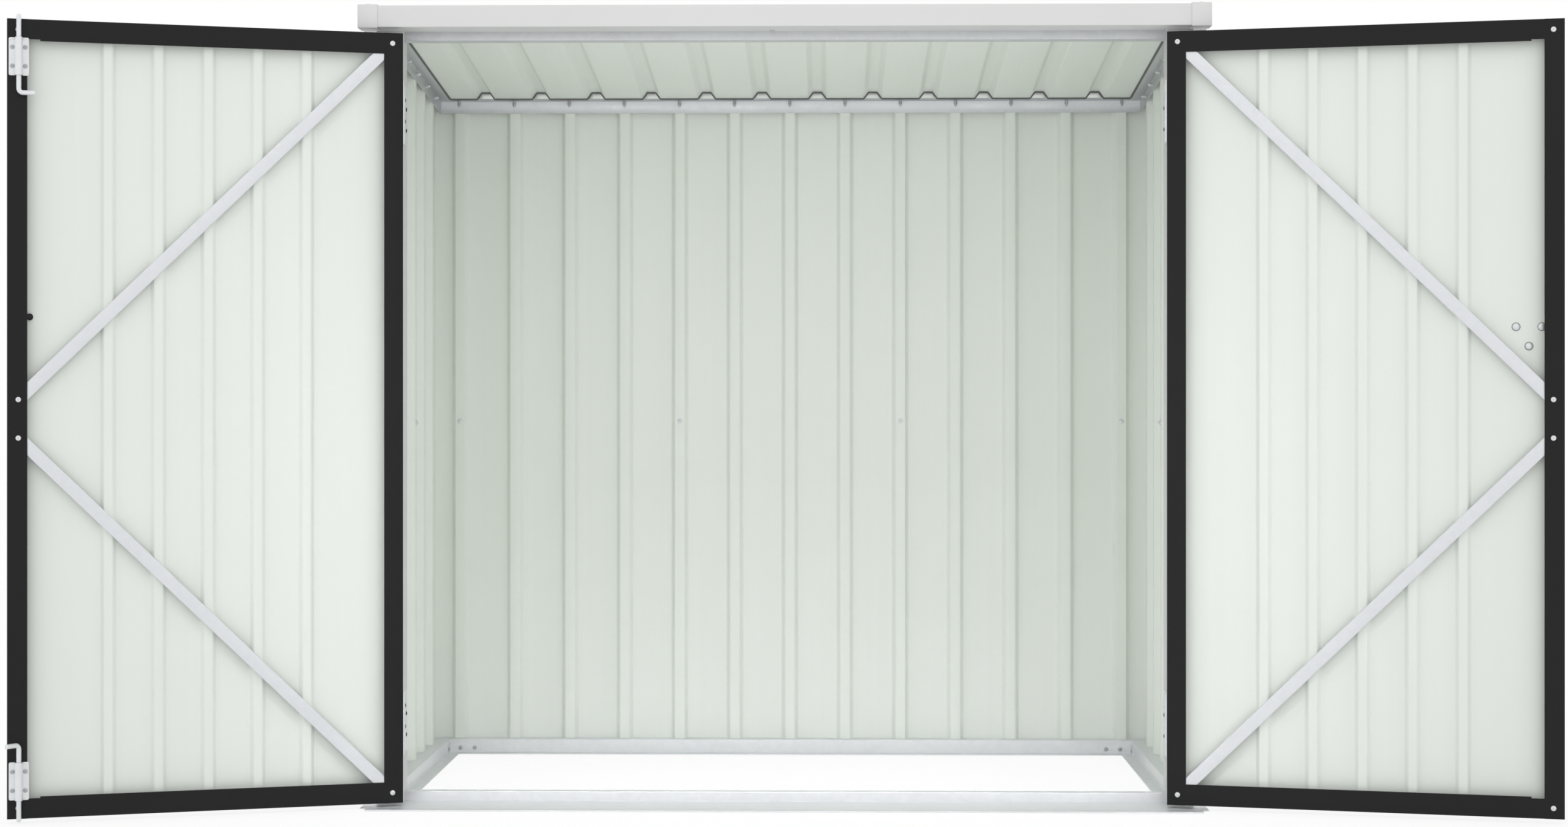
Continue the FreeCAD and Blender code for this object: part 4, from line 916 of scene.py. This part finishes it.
def press_rims(piece, height):
    """Raise the wings' ends, round their corners and break every sharp edge."""
    bpy.ops.object.mode_set(mode="EDIT")
    pick(piece, "faces", lambda f: f.normal.y > 0.99 and abs(f.calc_center_median().x) > CHANNEL
         and not RIM_BAND < f.calc_center_median().z < height - RIM_BAND)
    bpy.ops.mesh.extrude_region_move(TRANSFORM_OT_translate={"value": (0, RIM_RISE, 0)})
    pick(piece, "edges", lambda e: abs(edge_way(e).y) > 0.9
         and abs(edge_middle(e).x) > WING - TINY and not TINY < edge_middle(e).z < height - TINY)
    bpy.ops.mesh.bevel(offset=WING_CORNER, segments=4, affect="EDGES")
    bpy.ops.object.mode_set(mode="OBJECT")
    edges = piece.modifiers.new("edges", "BEVEL")
    edges.width = EDGE_BREAK
    edges.segments = 2
    edges.limit_method = "ANGLE"
    edges.angle_limit = SMOOTH_HEADS
    bpy.ops.object.modifier_apply(modifier=edges.name)


print("rims stand", RIM_RISE, "m proud")

# %% Set the housings
ROD = 0.0045
ROD_PLAY = 0.0002
left_along = Vector((math.cos(LEFT_OPEN), -math.sin(LEFT_OPEN), 0))


def collar(bore, radius, thick):
    """A ring round the rod that closes one end of the channel."""
    bpy.ops.object.select_all(action="DESELECT")
    bpy.ops.mesh.primitive_circle_add(vertices=32, radius=bore)
    bpy.ops.object.mode_set(mode="EDIT")
    bpy.ops.mesh.select_all(action="SELECT")
    grow(0, radius / bore)
    bpy.ops.mesh.select_mode(type="FACE")
    bpy.ops.mesh.select_all(action="SELECT")
    grow(thick, 1.0)
    return close(bpy.context.object)


for end in ("top", "bottom"):
    name = f"{end}_bolt_housing"
    points = [vertex.co for vertex in nodes[name].data.vertices]
    spans = [[pull(point.dot(way) for point in points) for pull in (min, max)]
             for way in (left_along, left_inward, UP)]
    depth = spans[1][1] - spans[1][0]
    height = spans[2][1] - spans[2][0]
    housing = strip_line(depth)
    raise_strip(height)
    fold_strip(housing)
    press_rims(housing, height)
    for z in (RIM_BAND * 0.2, height - RIM_BAND * 0.8):
        ring = collar(ROD + ROD_PLAY, CHANNEL + STRIP / 2, RIM_BAND * 0.6)
        ring.data.transform(Matrix.Translation((0, depth - STRIP - CHANNEL, z)))
        join(housing, ring)
    turn = Matrix((left_along, left_inward, UP)).transposed().to_4x4()
    place = left_along * (sum(spans[0]) / 2) + left_inward * spans[1][0] + UP * spans[2][0]
    housing.data.transform(Matrix.Translation(place) @ turn)
    housing.name = f"{end}_bolt_cover"
    only(housing)
    bpy.ops.object.shade_smooth_by_angle(angle=SMOOTH_HEADS)
    housing.data.materials.append(bright_zinc)
    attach(housing, "left_door")
    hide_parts(name)
    print(housing.name, "depth", round(depth, 4), "height", round(height, 4),
          "faces", len(housing.data.polygons))

# %% [markdown]
# ## Tower bolt rods
# Each rod is one bar, pointed at its tip and bent square into a handle. The CAD rod has a sharp
# elbow, where the real one has a bend. A curve with a round bevel would do, but would leave its
# tip blunt. So a disc is extruded along the rod, spun through a quarter turn for the bend and
# extruded again for the handle, as the bar would be drawn and bent.

# %% Bend a rod
BEND = 0.0075
BEND_STEPS = 8
HANDLE = 0.030
HANDLE_CHAMFER = 0.0012
TIP = ((0, 0.42), (0.0010, 0.70), (0.0016, 0.90), (0.0024, 1.0))


def bolt_rod(length):
    """A rod with its tip up at the origin; the handle leaves along +X at the lower end."""
    width = TIP[0][1]
    rod = disc(20, ROD * width, 0)
    for drop, wider in TIP[1:]:
        grow(-drop, wider / width)
        width = wider
    grow(-(length - sum(drop for drop, wider in TIP) - BEND), 1.0)
    bpy.ops.mesh.spin(steps=BEND_STEPS, angle=math.radians(90), center=(BEND, 0, -(length - BEND)),
                      axis=(0, 1, 0))
    for reach in (HANDLE - BEND - HANDLE_CHAMFER, HANDLE_CHAMFER):
        bpy.ops.mesh.extrude_region_move(TRANSFORM_OT_translate={"value": (reach, 0, 0)})
    bpy.ops.transform.resize(value=(1, 0.7, 0.7))
    bpy.ops.mesh.select_all(action="SELECT")
    bpy.ops.mesh.remove_doubles(threshold=MERGE)
    return close(rod)


print("bend radius", BEND, "m, handle", HANDLE, "m")

# %% Set the rods
LOW_HANDLE = math.radians(40)
handles = {"top": -left_along,
           "bottom": left_along * math.cos(LOW_HANDLE) + left_inward * math.sin(LOW_HANDLE)}
joint_place = {joint["child"]: joint.get("pos_m") for joint in frame["joints"]}
for end, handle in handles.items():
    name = f"{end}_bolt_rod"
    low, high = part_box(name)
    up = Vector((0, 0, 1 if end == "top" else -1))
    tail = low[2] + ROD if end == "top" else high[2] - ROD
    tip = high[2] if end == "top" else low[2]
    rod = bolt_rod(abs(tip - tail))
    turn = Matrix((handle, up.cross(handle), up)).transposed().to_4x4()
    x, y, z = joint_place[name]
    rod.data.transform(Matrix.Translation((x, y, tip)) @ turn)
    rod.name = f"{end}_bolt_bar"
    only(rod)
    bpy.ops.object.shade_smooth_by_angle(angle=SMOOTH_FOLDS)
    rod.data.materials.append(bright_zinc)
    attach(rod, name)
    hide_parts(name)
    print(rod.name, "length", round(abs(tip - tail), 4))

# %% [markdown]
# ## Put the masters away
# Each repeated shape was modelled once at the origin and copied. The masters are no part of the
# cabinet, and hiding them would still leave them in the file, so they are deleted.

# %% Delete the masters
masters = (door_head, plate_head, roof_screw, washer, lap_screw, rail_screw, bracket_head, lap_nut,
           latch_shade_ring)
for master in masters:
    bpy.data.objects.remove(master)
print(len(masters), "masters deleted")

# %% [markdown]
# ## The floor
# The photograph is a product shot on white. A floor lit until it is white would throw too much
# light on the pale doors. So the floor is plain paper that glows to the camera and in reflections
# only, and not fully, which keeps the cabinet's shadow on it.

# %% Lay the floor
GLOW = 0.85
bpy.ops.object.select_all(action="DESELECT")
bpy.ops.mesh.primitive_plane_add(size=60, location=(0, 0, -0.0005))
floor = bpy.context.object
floor.name = "studio_floor"
paper = Finish("studio_paper", Roughness=0.9, Specular_IOR_Level=0.1)
paper.give(Base_Color=paper.mix(paper.noise(2.0), shade(0.92), shade(0.94)))
glow = paper.add("ShaderNodeEmission", {}, {"Color": shade(1.0), "Strength": 1.0})
rays = [paper.add("ShaderNodeLightPath", {}, {}, f"Is {ray} Ray")
        for ray in ("Camera", "Glossy", "Transmission")]
seen = rays[0].math("MAXIMUM", rays[0], rays[0].math("MAXIMUM", rays[1], rays[2]))
mixed = paper.add("ShaderNodeMixShader", {}, {0: seen * GLOW, 2: glow})
paper.tree.links.new(paper.shader.outputs[0], mixed.socket.node.inputs[1])
paper.tree.links.new(mixed.socket, paper.tree.nodes["Material Output"].inputs["Surface"])
floor.data.materials.append(paper.material)
print(floor.name, "glows by", GLOW)

# %% [markdown]
# ## World and lamps
# Most of the light is a plain white world, as in a white tent, and it gives the even look of the
# photograph. Weak soft boxes in front, above and behind give the faces a direction. The inside
# would stay dim, so two boxes with a grid, which narrows their beam, reach the floor and the rear
# wall through the doorway without touching the doors much.

# %% Light the world
world = bpy.data.worlds.new("studio")
bpy.context.scene.world = world
world.use_nodes = True
tent = world.node_tree.nodes["Background"]
tent.inputs["Color"].default_value = (1, 1, 1, 1)
tent.inputs["Strength"].default_value = 1.0
print(world.name, "strength", tent.inputs["Strength"].default_value)


# %% Hang the lamps
def soft_box(name, place, aim, size, power, spread=180):
    lamp = bpy.data.lights.new(name, "AREA")
    lamp.shape = "RECTANGLE"
    lamp.size, lamp.size_y = size
    lamp.energy = power
    lamp.spread = math.radians(spread)
    holder = bpy.data.objects.new(name, lamp)
    holder.location = place
    holder.rotation_euler = (Vector(aim) - Vector(place)).to_track_quat("-Z", "Y").to_euler()
    bpy.context.collection.objects.link(holder)
    print(name, power, "W")


soft_box("front_soft_box", (0.0, -5.6, 1.1), (0, 0.4, 0.75), (6.0, 2.2), 4)
soft_box("floor_grid_box", (0.0, -2.4, 3.9), (0, 0.3, -0.1), (1.7, 0.5), 1.9, 18)
soft_box("wall_grid_box", (0.0, -4.6, 0.5), (0, 0.8, 1.30), (1.2, 0.8), 0.30, 22)
soft_box("high_soft_box", (0.0, -4.0, 4.2), (0, 0.4, 0.4), (6.0, 2.2), 12)
soft_box("back_soft_box", (0.0, 5.6, 3.0), (0, 0.4, 0.8), (6.0, 2.2), 8)

# %% [markdown]
# ## The camera
# The photograph was taken almost square on, from about five metres and with a long lens. Both
# were worked out from the doors' perspective, so the lens is given as a focal length in pixels.
# Tilting the camera would make the uprights lean, so it stays level and the frame is shifted.

# %% Place the camera
PHOTO_WIDTH = 2576
FOCAL_PIXELS = 4300
HORIZON_ABOVE_MIDDLE = 24.5
SENSOR = 36
CAMERA_PLACE = (0.0887, -5.011, 0.7828)
CAMERA_TURN = math.radians(1.0057)
camera_data = bpy.data.cameras.new("camera")
camera_data.sensor_width = SENSOR
camera_data.sensor_fit = "HORIZONTAL"
camera_data.lens = SENSOR * FOCAL_PIXELS / PHOTO_WIDTH
camera_data.shift_y = -HORIZON_ABOVE_MIDDLE / PHOTO_WIDTH
camera = bpy.data.objects.new("camera", camera_data)
camera.location = CAMERA_PLACE
camera.rotation_euler = (math.radians(90), 0, CAMERA_TURN)
bpy.context.collection.objects.link(camera)
bpy.context.scene.camera = camera
bpy.context.scene.view_settings.view_transform = "Standard"
print("lens", round(camera_data.lens, 2))
